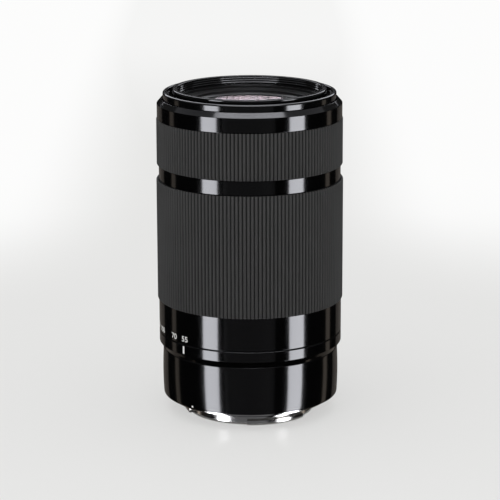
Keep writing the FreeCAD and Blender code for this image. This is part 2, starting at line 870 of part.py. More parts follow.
def front_cell():
    """Holder of the three front elements, with a flange under the filter ring and a shoulder inside."""
    bore = front_glass_radius + cell_gap
    flange_bottom = web_bottom - 1.7
    lip_top = surface(*pair_front, front_glass_radius - name_ring_inner)
    lip_outer = front_glass_radius + 0.5 + fit_gap
    flange = spigot_inner - cell_gap
    shoulder_inner = bore - 1
    shoulder_top = surface(*pair_back, shoulder_inner) - fit_gap
    shoulder_bottom = surface(*third_front, shoulder_inner) + fit_gap
    return turned(
        (bore, lip_top), (lip_outer, lip_top), (lip_outer, web_bottom), (flange, web_bottom),
        (flange, flange_bottom), (cell_outer, flange_bottom), (cell_outer, front_cell_bottom),
        (bore, front_cell_bottom), (bore, shoulder_bottom), (shoulder_inner, shoulder_bottom),
        (shoulder_inner, shoulder_top), (bore, shoulder_top),
    )


def front_retaining_ring():
    """Ring screwed into the back of the front cell behind its third element."""
    outer = front_glass_radius
    edge = surface(*third_back, outer) - fit_gap
    return tube(outer - 1.2, outer, front_cell_bottom, edge)


# Variator group

variator_front = 4.8
variator_rear = 9.8
variator_z = front_cell_bottom - group_air - variator_front
variator_apex = variator_z + 3.4


def follower_set(inner, angle, z):
    """Three round cam pins that stand out of a frame through the guide barrel into the cam barrel."""
    return around(radial_pin(inner_pin_radius, inner, cam_outer - 0.1, angle, z), cam_ways)


def variator_frame():
    """Spoked frame with a long running ring and the cell of the variator group."""
    low = variator_z - variator_rear
    half = frame_ring_height / 2
    ring = tube(frame_inner, frame_outer, variator_z - half, variator_z + half)
    inside = variator_glass_radius + cell_gap
    web = tube(inside + 0.5, frame_inner + 0.5, variator_z - frame_web / 2, variator_z + frame_web / 2)
    holder = cell(variator_glass_radius, low, low + 1.0, variator_z + variator_front)
    through = (inner_pin_radius + fit_gap, frame_inner - 1, frame_outer + 1)
    hole = radial_pin(*through, front_pin_angle + variator_pin_lead, variator_z)
    middle = (inside + cell_wall + frame_inner) / 2
    low_side, high_side = variator_z - frame_web, variator_z + frame_web
    opening = peg(middle, front_pin_angle, frame_hole_radius, low_side, high_side)
    return without(joined(ring, web, holder), *around(hole, cam_ways), *around(opening, 2 * cam_ways))


# Rear carriage: master group, with the iris in front and the stabiliser behind

blade_stack = 0.08 + blade_count * blade_pitch + 0.05
iris_height = iris_plate + blade_stack + iris_ring_thickness + 0.1 + iris_plate
carriage_top = variator_z - variator_rear + variator_travel - carriage_travel - group_air
plate_top = carriage_top - iris_height
carriage_bottom = plate_top - carriage_tube_length
carriage_z = carriage_bottom + 6.8
master_bottom = plate_top - 12.5
master_apex = plate_top - 0.7
master_faces = faces(master_apex, master_glass)


def carriage_frame():
    """Tube that runs in the guide barrel, with a front plate and the cell of the master group."""
    bore = master_glass_radius + cell_gap
    lip = bore - cell_lip
    shoulder_top = surface(*master_faces[1], lip) - fit_gap
    shoulder_bottom = surface(*master_faces[2], lip) + fit_gap
    ring = turned(
        (frame_inner, carriage_bottom), (frame_outer, carriage_bottom), (frame_outer, plate_top),
        (bore, plate_top), (bore, shoulder_top), (lip, shoulder_top), (lip, shoulder_bottom),
        (bore, shoulder_bottom), (bore, master_bottom + 0.9), (lip, master_bottom + 0.9),
        (lip, master_bottom), (bore + cell_wall, master_bottom),
        (bore + cell_wall, plate_top - carriage_plate), (frame_inner, plate_top - carriage_plate),
    )
    through = (inner_pin_radius + fit_gap, frame_inner - 1, frame_outer + 1)
    hole = radial_pin(*through, front_pin_angle + carriage_pin_lead, carriage_z)
    return without(ring, *around(hole, cam_ways))


# Iris: seven blades between a base plate and a drive ring

iris_floor = plate_top + iris_plate
ring_bottom = iris_floor + blade_stack
ring_top = ring_bottom + iris_ring_thickness
iris_shell_outer = iris_ring_outer + 0.2 + iris_skirt


def blade_angle(i):
    """Where blade i's pivot stands."""
    return front_pin_angle + i * FULL / blade_count


def drive_pin_place(i, turn):
    """Where the drive pin of blade i is once the blade has turned by that angle."""
    lead = blade_angle(i) + iris_drive_lead + turn
    return at(iris_pivot_circle, blade_angle(i), 0) + at(iris_drive_arm, lead, 0)


def iris_base():
    """Plate under the blades, bored for their pivots."""
    plate = tube(iris_open_radius, iris_shell_outer, plate_top, iris_floor)
    hole = peg(iris_pivot_circle, blade_angle(0), iris_pin_radius + 0.05, plate_top - 1, iris_floor + 1)
    return without(plate, *around(hole, blade_count))


def iris_blade(i):
    """Thin curved blade with a pivot pin below and a drive pin above."""
    low = iris_floor + 0.08 + i * blade_pitch
    top = low + blade_thickness
    start = blade_angle(i)
    arm = drive_pin_place(i, 0)
    arc = tube(iris_open_radius, iris_open_radius + blade_width, low, top, blade_sweep, start - 4)
    root = peg(iris_pivot_circle, start, blade_root, low, top)
    pivot_pin = peg(iris_pivot_circle, start, iris_pin_radius, plate_top + 0.1, top)
    drive_pad = Part.makeCylinder(0.9, blade_thickness, arm + AXIS * low, AXIS)
    drive_pin = Part.makeCylinder(iris_pin_radius, ring_top - 0.1 - low, arm + AXIS * low, AXIS)
    return joined(arc, root, drive_pad, pivot_pin, drive_pin)


def iris_drive_ring():
    """Ring whose seven cam slots swing the blades, with a lever for its motor."""
    body = tube(iris_ring_inner, iris_ring_outer, ring_bottom, ring_top)
    places = []
    for share in (0.0, 0.5, 1.0):
        place = drive_pin_place(0, share * blade_turn)
        turn = FreeCAD.Rotation(AXIS, -share * iris_ring_turn)
        places.append(turn.multVec(place))
    path = Part.Wire(Part.Arc(*places).toShape())
    track = Part.Face(path.makeOffset2D(iris_pin_radius + 0.1))
    track.translate(AXIS * (ring_bottom - 1))
    cam = track.extrude(AXIS * (iris_ring_thickness + 2))
    lever_angle = front_pin_angle + 20
    lever = radial_block(
        iris_ring_outer - 0.5, frame_inner - iris_lever_step, 2.0, ring_bottom, ring_top, lever_angle,
    )
    return without(joined(body, lever), *around(cam, blade_count))


def iris_cover():
    """Cap over the blades and drive ring, open on one side for the lever."""
    skirt_inner = iris_ring_outer + 0.2
    mouth = iris_open_radius + 0.3
    body = turned(
        (mouth, ring_top + 0.1), (skirt_inner, ring_top + 0.1), (skirt_inner, iris_floor),
        (iris_shell_outer, iris_floor), (iris_shell_outer, carriage_top), (mouth, carriage_top),
    )
    margin = math.degrees(1.5 / iris_ring_outer)
    gate = tube(
        skirt_inner - 0.5, iris_shell_outer + 1, iris_floor - 1, ring_top + 0.1,
        iris_ring_turn + 2 * margin + 2, front_pin_angle + 20 - margin - 1,
    )
    return body.cut(gate)


# Stabiliser: a lens that shifts in two directions across the axis

yoke_top = master_bottom + 0.2
yoke_bottom = yoke_top - 0.8
base_top = carriage_bottom
base_bottom = base_top - stabiliser_plate
pitch_bottom = base_top + stabiliser_gap
yaw_bottom = pitch_bottom + stabiliser_layer + stabiliser_gap
yaw_top = yaw_bottom + stabiliser_layer
shift_cell_bottom = pitch_bottom + 0.3
shift_ledge = shift_cell_bottom + 0.9
shift_coil_angles = (90, 180)
stabiliser_clear = stabiliser_glass_radius + cell_gap + cell_wall + 2 * stabiliser_shift


def focus_rod(gap, bottom, top):
    """A guide rod of the focus group, grown by a gap."""
    return peg(focus_rod_circle, focus_rod_angle, focus_rod_radius + gap, bottom, top)


def stabiliser_base():
    """Plate that closes the back of the carriage tube and takes the rods and posts of the rear frame."""
    plate = tube(stabiliser_clear, frame_outer - 0.2, base_bottom, base_top)
    rod = focus_rod(fit_gap, base_bottom - 1, base_bottom + 0.7)
    return without(plate, *around(rod, 2))


def pitch_frame():
    """Lower sliding frame of the stabiliser, which moves along Y."""
    plate = tube(stabiliser_clear, stabiliser_outer, pitch_bottom, pitch_bottom + stabiliser_layer)
    flat = radial_block(stabiliser_outer - 2, stabiliser_outer + 1, 10, pitch_bottom - 1, yaw_bottom, 45)
    return without(plate, *around(flat, 2))


def yaw_frame():
    """Upper sliding frame, which moves along X on the lower one and holds the lens and two coils."""
    plate = tube(stabiliser_glass_radius + cell_gap + 0.5, stabiliser_outer, yaw_bottom, yaw_top)
    holder = cell(stabiliser_glass_radius, shift_cell_bottom, shift_ledge, yoke_bottom - 0.2)
    coils = []
    for angle in shift_coil_angles:
        outer = radial_block(
            shift_coil_inner, shift_coil_outer, magnet_length,
            yaw_top - 0.1, yaw_top + coil_thickness, angle,
        )
        inner = radial_block(
            shift_coil_inner + shift_coil_wire, shift_coil_outer - shift_coil_wire,
            magnet_length - 2 * shift_coil_wire, yaw_top - 1, yaw_top + coil_thickness + 1, angle,
        )
        coils.append(outer.cut(inner))
    return joined(plate, holder, *coils)


def stabiliser_yoke():
    """Steel plate in the carriage tube with two magnets facing the coils."""
    inner = master_glass_radius + cell_gap + cell_wall + 0.2
    plate = tube(inner, frame_inner - 0.05, yoke_bottom, yoke_top)
    magnets = []
    for angle in shift_coil_angles:
        magnets.append(radial_block(
            shift_coil_inner + magnet_inset, shift_coil_outer - magnet_inset, magnet_length,
            yoke_bottom - magnet_thickness, yoke_bottom + 0.1, angle,
        ))
    return joined(plate, *magnets)


# Focus group and rear frame

focus_bottom = base_bottom - 1.0 - focus_travel - focus_cell_height
rear_top = base_bottom - post_length
rear_bottom = rear_top - rear_plate
motor_angle = focus_rod_angle + 90
rear_cell_bottom = rear_top - 5.6
rear_ledge = rear_cell_bottom + 1.1
focus_ledge = focus_bottom + 0.6


def rear_frame():
    """Plate behind the focus group, with posts to the stabiliser base and the cell of the rear element."""
    plate = tube(rear_glass_radius + cell_gap + 0.5, frame_outer - 0.4, rear_bottom, rear_top)
    holder = cell(rear_glass_radius, rear_cell_bottom, rear_ledge, rear_top)
    post = peg(post_circle, front_pin_angle, post_radius, rear_top - 0.5, base_bottom)
    rod = focus_rod(fit_gap, rear_bottom - 1, rear_top + 1)
    return without(joined(plate, holder, *around(post, post_count)), *around(rod, 2))


def focus_rods():
    """Two polished rods that guide the focus group."""
    return around(focus_rod(0, rear_bottom + 0.2, base_bottom + 0.6), 2)


def focus_frame():
    """Cell of the focus pair, with a sleeve on one rod, a fork on the other and an arm for the coil."""
    bore = focus_glass_radius + cell_gap
    top = focus_bottom + focus_cell_height
    holder = cell(focus_glass_radius, focus_bottom, focus_ledge, top)
    sleeve = focus_rod_radius + 0.05
    boss = peg(focus_rod_circle, focus_rod_angle, sleeve + focus_sleeve_wall, focus_bottom, top)
    arm = radial_block(bore + 0.5, focus_rod_circle, 2.4, focus_bottom, top, focus_rod_angle)
    opposite = focus_rod_angle + 180
    fork = radial_block(bore + 0.5, focus_rod_circle + 1.6, 4.0, focus_bottom, focus_bottom + 2.5, opposite)
    coil_arm = radial_block(bore + 0.5, coil_inner - fit_gap, 4.0, focus_bottom, top, motor_angle)
    rod = peg(focus_rod_circle, focus_rod_angle, sleeve, focus_bottom - 1, top + 1)
    notch = radial_block(
        focus_rod_circle - sleeve, focus_rod_circle + 3, 2 * sleeve, focus_bottom - 1, top + 1, opposite,
    )
    return without(joined(holder, arm, boss, fork, coil_arm), rod, notch)


coil_core = 1.0
coil_slot = 0.25
core_inner = coil_inner + coil_wall + coil_slot
coil_outer = core_inner + coil_core + coil_slot + coil_wall


def focus_coil():
    """Flat coil of the focus motor, which slides along the yoke's inner leg."""
    low = focus_bottom + 0.5
    top = focus_bottom + focus_cell_height - 0.5
    outer = radial_block(coil_inner, coil_outer, coil_width, low, top, motor_angle)
    hole = radial_block(
        core_inner - coil_slot, core_inner + coil_core + coil_slot, coil_width - 2 * coil_wall,
        low - 1, top + 1, motor_angle,
    )
    return outer.cut(hole)


def focus_yoke():
    """U-shaped iron yoke with its magnet, standing on the rear frame."""
    top = base_bottom - 0.2
    magnet_inner = coil_outer + coil_slot
    core_width = coil_width - 2 * coil_wall - 2 * coil_slot
    inner_leg = radial_block(core_inner, core_inner + coil_core, core_width, rear_top, top, motor_angle)
    foot = radial_block(core_inner, magnet_inner + 2.2, coil_width, rear_top, rear_top + 1, motor_angle)
    outer_leg = radial_block(magnet_inner, magnet_inner + 2.2, coil_width, rear_top, top, motor_angle)
    return joined(inner_leg, foot, outer_leg)


os.makedirs("parts", exist_ok=True)

save("mount_ring", mount_ring())
save("mount_screws", *mount_screws())
save("rear_baffle", rear_baffle())
save("contact_block", contact_block())
save("contact_pins", *contact_pins())
save("rear_cover", drilled_cover())
save("index_ring", index_ring())
save("main_board", main_board())
save("main_barrel", main_barrel())
save("guide_barrel", guide_barrel())
save("guide_screws", *guide_screws())
save("cam_retaining_ring", cam_retaining_ring())
save("front_trim_ring", front_trim_ring())
save("front_seal", front_seal())
save("zoom_sensor", zoom_sensor())
save("focus_sensor", focus_sensor())

save("zoom_ring", zoom_ring())
save("zoom_grip", grip(zoom_sleeve_outer + fit_gap, grip_radius, zoom_grip_bottom, zoom_grip_top))
save("zoom_keys", *around(key_block(0), key_count))
save("cam_barrel", cam_barrel())
save("zoom_brush", zoom_brush())

save("focus_ring", focus_ring())
save("focus_grip", grip(focus_sleeve_outer + fit_gap, focus_grip_radius, focus_grip_bottom, focus_grip_top))
save("focus_scale", focus_scale())

save("front_tube", front_tube())
save("front_followers", *front_followers())
save("filter_ring", filter_ring())
save("name_ring", name_ring())
save("front_cell", front_cell())
*front_pair, front_third = elements(front_glass_radius, front_apex, front_glass)
save("front_doublet", *front_pair)
save("front_third_element", front_third)
save("front_retaining_ring", front_retaining_ring())

save("variator_frame", variator_frame())
save("variator_followers", *follower_set(frame_inner, front_pin_angle + variator_pin_lead, variator_z))
save("variator_elements", *elements(variator_glass_radius, variator_apex, variator_glass))

save("carriage_frame", carriage_frame())
save("carriage_followers", *follower_set(frame_inner, front_pin_angle + carriage_pin_lead, carriage_z))
save("master_elements", *elements(master_glass_radius, master_apex, master_glass))
save("iris_base", iris_base())
save("iris_cover", iris_cover())
save("iris_drive_ring", iris_drive_ring())
for number in range(blade_count):
    save(f"iris_blade_{number + 1}", iris_blade(number))
save("stabiliser_base", stabiliser_base())
save("stabiliser_yoke", stabiliser_yoke())
save("pitch_frame", pitch_frame())
save("yaw_frame", yaw_frame())
save("stabiliser_element", *seated(stabiliser_glass_radius, shift_ledge, stabiliser_glass))
save("rear_frame", rear_frame())
save("rear_element", *seated(rear_glass_radius, rear_ledge, rear_glass))
save("focus_rods", *focus_rods())
save("focus_yoke", focus_yoke())
save("focus_frame", focus_frame())
save("focus_doublet", *seated(focus_glass_radius, focus_ledge, focus_glass))
save("focus_coil", focus_coil())

print("travels in mm:", round(front_travel, 2), variator_travel, carriage_travel)
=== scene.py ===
import math
import bmesh
import bpy
from mathutils import Matrix, Vector


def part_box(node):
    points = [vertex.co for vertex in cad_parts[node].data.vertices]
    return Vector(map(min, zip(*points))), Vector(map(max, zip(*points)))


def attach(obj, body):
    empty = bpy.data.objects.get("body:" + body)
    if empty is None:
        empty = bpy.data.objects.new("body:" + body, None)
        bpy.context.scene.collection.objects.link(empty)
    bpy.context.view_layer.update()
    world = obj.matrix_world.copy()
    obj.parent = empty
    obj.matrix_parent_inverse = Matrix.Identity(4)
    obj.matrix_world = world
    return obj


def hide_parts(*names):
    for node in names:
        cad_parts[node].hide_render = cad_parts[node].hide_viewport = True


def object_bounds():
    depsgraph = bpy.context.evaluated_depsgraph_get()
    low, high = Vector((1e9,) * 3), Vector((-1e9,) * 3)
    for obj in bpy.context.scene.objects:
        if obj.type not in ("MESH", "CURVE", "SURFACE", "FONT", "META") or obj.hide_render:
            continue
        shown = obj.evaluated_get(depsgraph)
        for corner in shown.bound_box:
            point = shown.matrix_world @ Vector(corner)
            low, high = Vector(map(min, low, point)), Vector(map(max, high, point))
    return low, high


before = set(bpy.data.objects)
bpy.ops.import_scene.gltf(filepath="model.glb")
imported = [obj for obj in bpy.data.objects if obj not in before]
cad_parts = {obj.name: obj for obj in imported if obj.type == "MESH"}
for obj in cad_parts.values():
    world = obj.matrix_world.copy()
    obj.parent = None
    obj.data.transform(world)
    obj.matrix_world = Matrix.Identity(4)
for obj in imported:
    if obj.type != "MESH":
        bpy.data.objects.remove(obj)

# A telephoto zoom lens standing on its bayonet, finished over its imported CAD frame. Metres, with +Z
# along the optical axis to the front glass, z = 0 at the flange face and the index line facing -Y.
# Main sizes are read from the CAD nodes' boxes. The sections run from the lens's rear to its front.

cad_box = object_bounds()


# Bayonet mount: a turned brass ring with three locking tabs, chrome plated and ground on its face.
# Four countersunk steel screws clamp it, with the rear cover, to the main barrel.

INDEX_ANGLE = math.radians(270)


def surface_group():
    """Shader group for a real surface: broad patches of other shade and gloss, and a fine grain."""
    tree = bpy.data.node_groups.new("surface_variation", "ShaderNodeTree")
    sockets = (
        ("Colour", "NodeSocketColor", (0.5, 0.5, 0.5, 1.0)), ("Shade Change", "NodeSocketFloat", 0.1),
        ("Patch Scale", "NodeSocketFloat", 90.0), ("Roughness", "NodeSocketFloat", 0.4),
        ("Roughness Change", "NodeSocketFloat", 0.05), ("Grain Scale", "NodeSocketFloat", 3000.0),
    )
    for name, kind, value in sockets:
        tree.interface.new_socket(name=name, in_out="INPUT", socket_type=kind).default_value = value
    for name, kind in (("Colour", "Color"), ("Roughness", "Float"), ("Height", "Float")):
        tree.interface.new_socket(name=name, in_out="OUTPUT", socket_type="NodeSocket" + kind)
    given = tree.nodes.new("NodeGroupInput")
    result = tree.nodes.new("NodeGroupOutput")
    place = tree.nodes.new("ShaderNodeTexCoord").outputs["Object"]
    patches = noise(tree, place, given.outputs["Patch Scale"], 4.0)
    grain = noise(tree, place, given.outputs["Grain Scale"], 2.0)
    swing = calculated(tree, "SUBTRACT", patches, 0.5)
    shade = calculated(tree, "MULTIPLY_ADD", swing, given.outputs["Shade Change"], 1.0)
    tint = tree.nodes.new("ShaderNodeHueSaturation")
    tree.links.new(given.outputs["Colour"], tint.inputs["Color"])
    tree.links.new(shade, tint.inputs["Value"])
    rough = calculated(tree, "MULTIPLY_ADD", swing, given.outputs["Roughness Change"],
                       given.outputs["Roughness"])
    tree.links.new(tint.outputs["Color"], result.inputs["Colour"])
    tree.links.new(rough, result.inputs["Roughness"])
    tree.links.new(grain, result.inputs["Height"])
    return tree


def noise(tree, place, scale, detail):
    """The value of a noise texture at a place."""
    node = tree.nodes.new("ShaderNodeTexNoise")
    node.inputs["Detail"].default_value = detail
    fed(tree, place, node.inputs["Vector"])
    fed(tree, scale, node.inputs["Scale"])
    return node.outputs["Fac"]


def calculated(tree, operation, *values):
    """The result of a Math node whose inputs are numbers or sockets."""
    node = tree.nodes.new("ShaderNodeMath")
    node.operation = operation
    for value, socket in zip(values, node.inputs):
        fed(tree, value, socket)
    return node.outputs[0]


def fed(tree, value, socket):
    """Gives a socket a number, or a link if the value is a socket."""
    if isinstance(value, (int, float)):
        socket.default_value = value
    else:
        tree.links.new(value, socket)


def turned_marks_group():
    """Shader group for the fine rings that a lathe tool leaves, as a height."""
    tree = bpy.data.node_groups.new("lathe_marks", "ShaderNodeTree")
    tree.interface.new_socket(name="Ring Scale", in_out="INPUT", socket_type="NodeSocketFloat")
    tree.interface.new_socket(name="Height", in_out="OUTPUT", socket_type="NodeSocketFloat")
    given = tree.nodes.new("NodeGroupInput")
    result = tree.nodes.new("NodeGroupOutput")
    parts = tree.nodes.new("ShaderNodeSeparateXYZ")
    tree.links.new(tree.nodes.new("ShaderNodeTexCoord").outputs["Object"], parts.inputs[0])
    x_squared = calculated(tree, "MULTIPLY", parts.outputs["X"], parts.outputs["X"])
    squared = calculated(tree, "MULTIPLY_ADD", parts.outputs["Y"], parts.outputs["Y"], x_squared)
    radius = calculated(tree, "SQRT", squared)
    rings = tree.nodes.new("ShaderNodeCombineXYZ")
    tree.links.new(radius, rings.inputs["X"])
    tree.links.new(parts.outputs["Z"], rings.inputs["Y"])
    height = noise(tree, rings.outputs[0], given.outputs["Ring Scale"], 3.0)
    tree.links.new(height, result.inputs["Height"])
    return tree


surface_variation = surface_group()
lathe_marks = turned_marks_group()


def finish_material(name, colour, roughness, metallic=0.0, shade=0.15, gloss_change=0.08, grain=3000.0,
                    depth=4e-6, rings=None, patch=90.0, specular=0.5):
    """A Principled material whose colour, gloss and bump come from the shared groups."""
    material = bpy.data.materials.new(name)
    material.use_nodes = True
    tree = material.node_tree
    shader = tree.nodes["Principled BSDF"]
    group = tree.nodes.new("ShaderNodeGroup")
    group.node_tree = surface_variation
    settings = {"Shade Change": shade, "Patch Scale": patch, "Roughness": roughness,
                "Roughness Change": gloss_change, "Grain Scale": grain}
    for key, value in settings.items():
        group.inputs[key].default_value = value
    group.inputs["Colour"].default_value = (*colour, 1.0)
    tree.links.new(group.outputs["Colour"], shader.inputs["Base Color"])
    tree.links.new(group.outputs["Roughness"], shader.inputs["Roughness"])
    shader.inputs["Metallic"].default_value = metallic
    shader.inputs["Specular IOR Level"].default_value = specular
    height = group.outputs["Height"]
    if rings:
        marks = tree.nodes.new("ShaderNodeGroup")
        marks.node_tree = lathe_marks
        marks.inputs["Ring Scale"].default_value = rings
        height = marks.outputs["Height"]
    bump = tree.nodes.new("ShaderNodeBump")
    bump.inputs["Distance"].default_value = depth
    tree.links.new(height, bump.inputs["Height"])
    tree.links.new(bump.outputs["Normal"], shader.inputs["Normal"])
    return material


def settled(piece, material, body, *nodes):
    """Gives a finished piece its material and body, and lets it stand for its CAD nodes."""
    piece.data.materials.clear()
    piece.data.materials.append(material)
    if nodes:
        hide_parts(*nodes)
    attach(piece, body)


def refined(name, node, sharp_angle=28.0):
    """A copy of a CAD node with its loose triangles merged and its flat and round faces told apart."""
    shape = bmesh.new()
    shape.from_mesh(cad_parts[node].data)
    bmesh.ops.remove_doubles(shape, verts=shape.verts, dist=1e-6)
    mesh = bpy.data.meshes.new(name)
    shape.to_mesh(mesh)
    shape.free()
    for face in mesh.polygons:
        face.use_smooth = True
    mesh.set_sharp_from_angle(angle=math.radians(sharp_angle))
    return placed(name, mesh)


def placed(name, mesh):
    """A mesh as an object of the scene."""
    piece = bpy.data.objects.new(name, mesh)
    bpy.context.scene.collection.objects.link(piece)
    return piece


def dressed(material, *nodes):
    """Gives CAD nodes that stay as they are their procedural material."""
    for node in nodes:
        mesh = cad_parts[node].data
        mesh.materials.clear()
        mesh.materials.append(material)


def true_round(piece):
    """Gives the faces that are turned about the axis the exact normals of their cylinder or cone."""
    mesh = piece.data
    normals = [Vector(corner.vector) for corner in mesh.corner_normals]
    for face in mesh.polygons:
        level = Vector((face.normal.x, face.normal.y, 0))
        out = Vector((face.center.x, face.center.y, 0)).normalized()
        if level.length > FLAT_LIMIT and abs(level.normalized().dot(out)) < ROUND_LIMIT:
            continue
        side = math.copysign(level.length, level.dot(out))
        for corner, vertex in zip(face.loop_indices, face.vertices):
            place = mesh.vertices[vertex].co
            normal = Vector((place.x, place.y, 0)).normalized() * side
            normals[corner] = normal + Vector((0, 0, face.normal.z))
    mesh.normals_split_custom_set(normals)
    return piece


FLAT_LIMIT = 0.02
ROUND_LIMIT = 0.99
chrome = finish_material("chrome_plate", (0.74, 0.73, 0.71), 0.17, 1.0, shade=0.06, depth=2e-6,
                         rings=6000.0)
screw_steel = finish_material("screw_steel", (0.5, 0.5, 0.51), 0.3, 1.0, rings=9000.0, depth=2e-6)
settled(true_round(refined("bayonet_ring", "mount_ring")), chrome, "barrel", "mount_ring")
dressed(screw_steel, "mount_screws")


# Rear baffle and contacts: a flocked black plate with a light window, and a moulded block that holds
# ten gold-plated pins, which bring power and data from the camera.

CONTACT_COUNT = 10
CONTACT_PITCH = math.radians(7)
AT_AXIS = 1e-9


def socket_named(tree, name):
    """The identifier of a node group's input, by its name."""
    return next(item.identifier for item in tree.interface.items_tree
                if item.item_type == "SOCKET" and item.name == name)


def repeat_tree():
    """Geometry Nodes: copies of the input mesh, turned about the lens axis by an even pitch."""
    tree = bpy.data.node_groups.new("repeat_round_axis", "GeometryNodeTree")
    for name, kind in (("Element", "Geometry"), ("Count", "Int"), ("Pitch", "Float"), ("Start", "Float"),
                       ("Finish", "Material")):
        tree.interface.new_socket(name=name, in_out="INPUT", socket_type="NodeSocket" + kind)
    tree.interface.new_socket(name="Pieces", in_out="OUTPUT", socket_type="NodeSocketGeometry")
    given = tree.nodes.new("NodeGroupInput")
    result = tree.nodes.new("NodeGroupOutput")
    points = tree.nodes.new("GeometryNodePoints")
    copies = tree.nodes.new("GeometryNodeInstanceOnPoints")
    turn = tree.nodes.new("ShaderNodeCombineXYZ")
    angle = calculated(tree, "MULTIPLY_ADD", tree.nodes.new("GeometryNodeInputIndex").outputs[0],
                       given.outputs["Pitch"], given.outputs["Start"])
    real = tree.nodes.new("GeometryNodeRealizeInstances")
    painted = tree.nodes.new("GeometryNodeSetMaterial")
    tree.links.new(given.outputs["Count"], points.inputs["Count"])
    tree.links.new(points.outputs[0], copies.inputs["Points"])
    tree.links.new(given.outputs["Element"], copies.inputs["Instance"])
    tree.links.new(angle, turn.inputs["Z"])
    tree.links.new(turn.outputs[0], copies.inputs["Rotation"])
    tree.links.new(copies.outputs[0], real.inputs[0])
    tree.links.new(real.outputs[0], painted.inputs["Geometry"])
    tree.links.new(given.outputs["Finish"], painted.inputs["Material"])
    tree.links.new(painted.outputs[0], result.inputs[0])
    return tree


repeat_round_axis = repeat_tree()


def grown(piece, tree, **settings):
    """Runs a Geometry Nodes tree on a piece and leaves its result as the piece's plain mesh."""
    modifier = piece.modifiers.new("grow", "NODES")
    modifier.node_group = tree
    for name, value in settings.items():
        modifier[socket_named(tree, name.replace("_", " "))] = value
    bpy.context.view_layer.update()
    evaluated = piece.evaluated_get(bpy.context.evaluated_depsgraph_get())
    mesh = bpy.data.meshes.new_from_object(evaluated)
    piece.modifiers.remove(modifier)
    piece.data = mesh
    return piece


def repeated(piece, count, pitch, start, material):
    """The piece copied round the lens axis."""
    return grown(piece, repeat_round_axis, Count=count, Pitch=pitch, Start=start, Finish=material)


def outline(corners):
    """Points of a closed outline in the (r, z) plane, whose corners are given counter-clockwise.

    A corner is (r, z), (r, z, rounding) or (r, z, rounding, bulge), where the bulge is how far the
    side after that corner bows outwards.
    """
    corners = [tuple(c) + (0.0,) * (4 - len(c)) for c in corners]
    points = []
    for i, (r, z, rounding, bulge) in enumerate(corners):
        here = Vector((r, z))
        next_corner = Vector(corners[(i + 1) % len(corners)][:2])
        before = (Vector(corners[i - 1][:2]) - here).normalized()
        after = (next_corner - here).normalized()
        points.extend(rounded(here, before, after, rounding))
        if bulge:
            points.extend(bowed(here, next_corner, bulge))
    return points


def rounded(corner, before, after, radius):
    """The points of a corner rounded to a radius, between its sides' directions."""
    if not radius:
        return [corner]
    half = before.angle(after) / 2
    reach = radius / math.tan(half)
    centre = corner + (before + after).normalized() * (radius / math.sin(half))
    arm = corner + before * reach - centre
    return swept(centre, arm, corner + after * reach - centre, 5, True)


def bowed(start, end, bulge):
    """Points between two ends of a circular arc whose middle stands off the chord."""
    chord = end - start
    radius = (chord.length ** 2 / 4 + bulge ** 2) / (2 * abs(bulge))
    aside = Vector((chord.y, -chord.x)).normalized() * math.copysign(1, bulge)
    centre = (start + end) / 2 - aside * (radius - abs(bulge))
    return swept(centre, start - centre, end - centre, 24, False)


def swept(centre, arm, last_arm, steps, with_ends):
    """Points of the arc from one arm of a centre to another."""
    angle = -arm.angle_signed(last_arm)
    shares = range(steps + 1) if with_ends else range(1, steps)
    return [centre + Matrix.Rotation(angle * k / steps, 2) @ arm for k in shares]


def turned(name, corners, steps=288, sweep=math.tau, start=0.0):
    """An outline turned about the lens axis, with exact normals where it goes all the way round."""
    points = outline(corners)
    closed = sweep == math.tau
    rings = steps if closed else steps + 1
    turns = [start + sweep * k / steps for k in range(rings)]
    shape = bmesh.new()
    grid = []
    normals = []
    for i, point in enumerate(points):
        # The two sides that meet here, added up, weigh the normal by their lengths
        along = points[(i + 1) % len(points)] - points[i - 1]
        tilt = Vector((along.y, -along.x)).normalized()
        if point.x < AT_AXIS:
            grid.append([shape.verts.new((0, 0, point.y))] * rings)
            normals.append((0, 0, math.copysign(1, tilt.y)))
            continue
        ring = [(point.x * math.cos(t), point.x * math.sin(t), point.y) for t in turns]
        grid.append([shape.verts.new(place) for place in ring])
        normals.extend((tilt.x * math.cos(t), tilt.x * math.sin(t), tilt.y) for t in turns)
    for low, high in zip(grid, grid[1:] + grid[:1]):
        for k in range(steps):
            face = list(dict.fromkeys((low[k], low[(k + 1) % rings], high[(k + 1) % rings], high[k])))
            if len(face) > 2:
                shape.faces.new(face)
    if not closed:
        shape.faces.new([ring[0] for ring in grid])
        shape.faces.new([ring[-1] for ring in grid])
    bmesh.ops.recalc_face_normals(shape, faces=shape.faces)
    mesh = bpy.data.meshes.new(name)
    shape.to_mesh(mesh)
    shape.free()
    for face in mesh.polygons:
        face.use_smooth = True
    if closed:
        mesh.normals_split_custom_set_from_vertices(normals)
    else:
        mesh.set_sharp_from_angle(angle=math.radians(30))
    return placed(name, mesh)


flocked = finish_material("flocked_black", (0.012, 0.012, 0.012), 0.9, grain=9000.0, depth=3e-5,
                          specular=0.2)
contact_plastic = finish_material("contact_moulding", (0.022, 0.022, 0.023), 0.45, grain=5000.0,
                                  depth=6e-6)
contact_gold = finish_material("contact_gold", (0.86, 0.62, 0.25), 0.2, 1.0, shade=0.1, grain=9000.0,
                               depth=2e-6)
dressed(flocked, "rear_baffle")
dressed(contact_plastic, "contact_block")

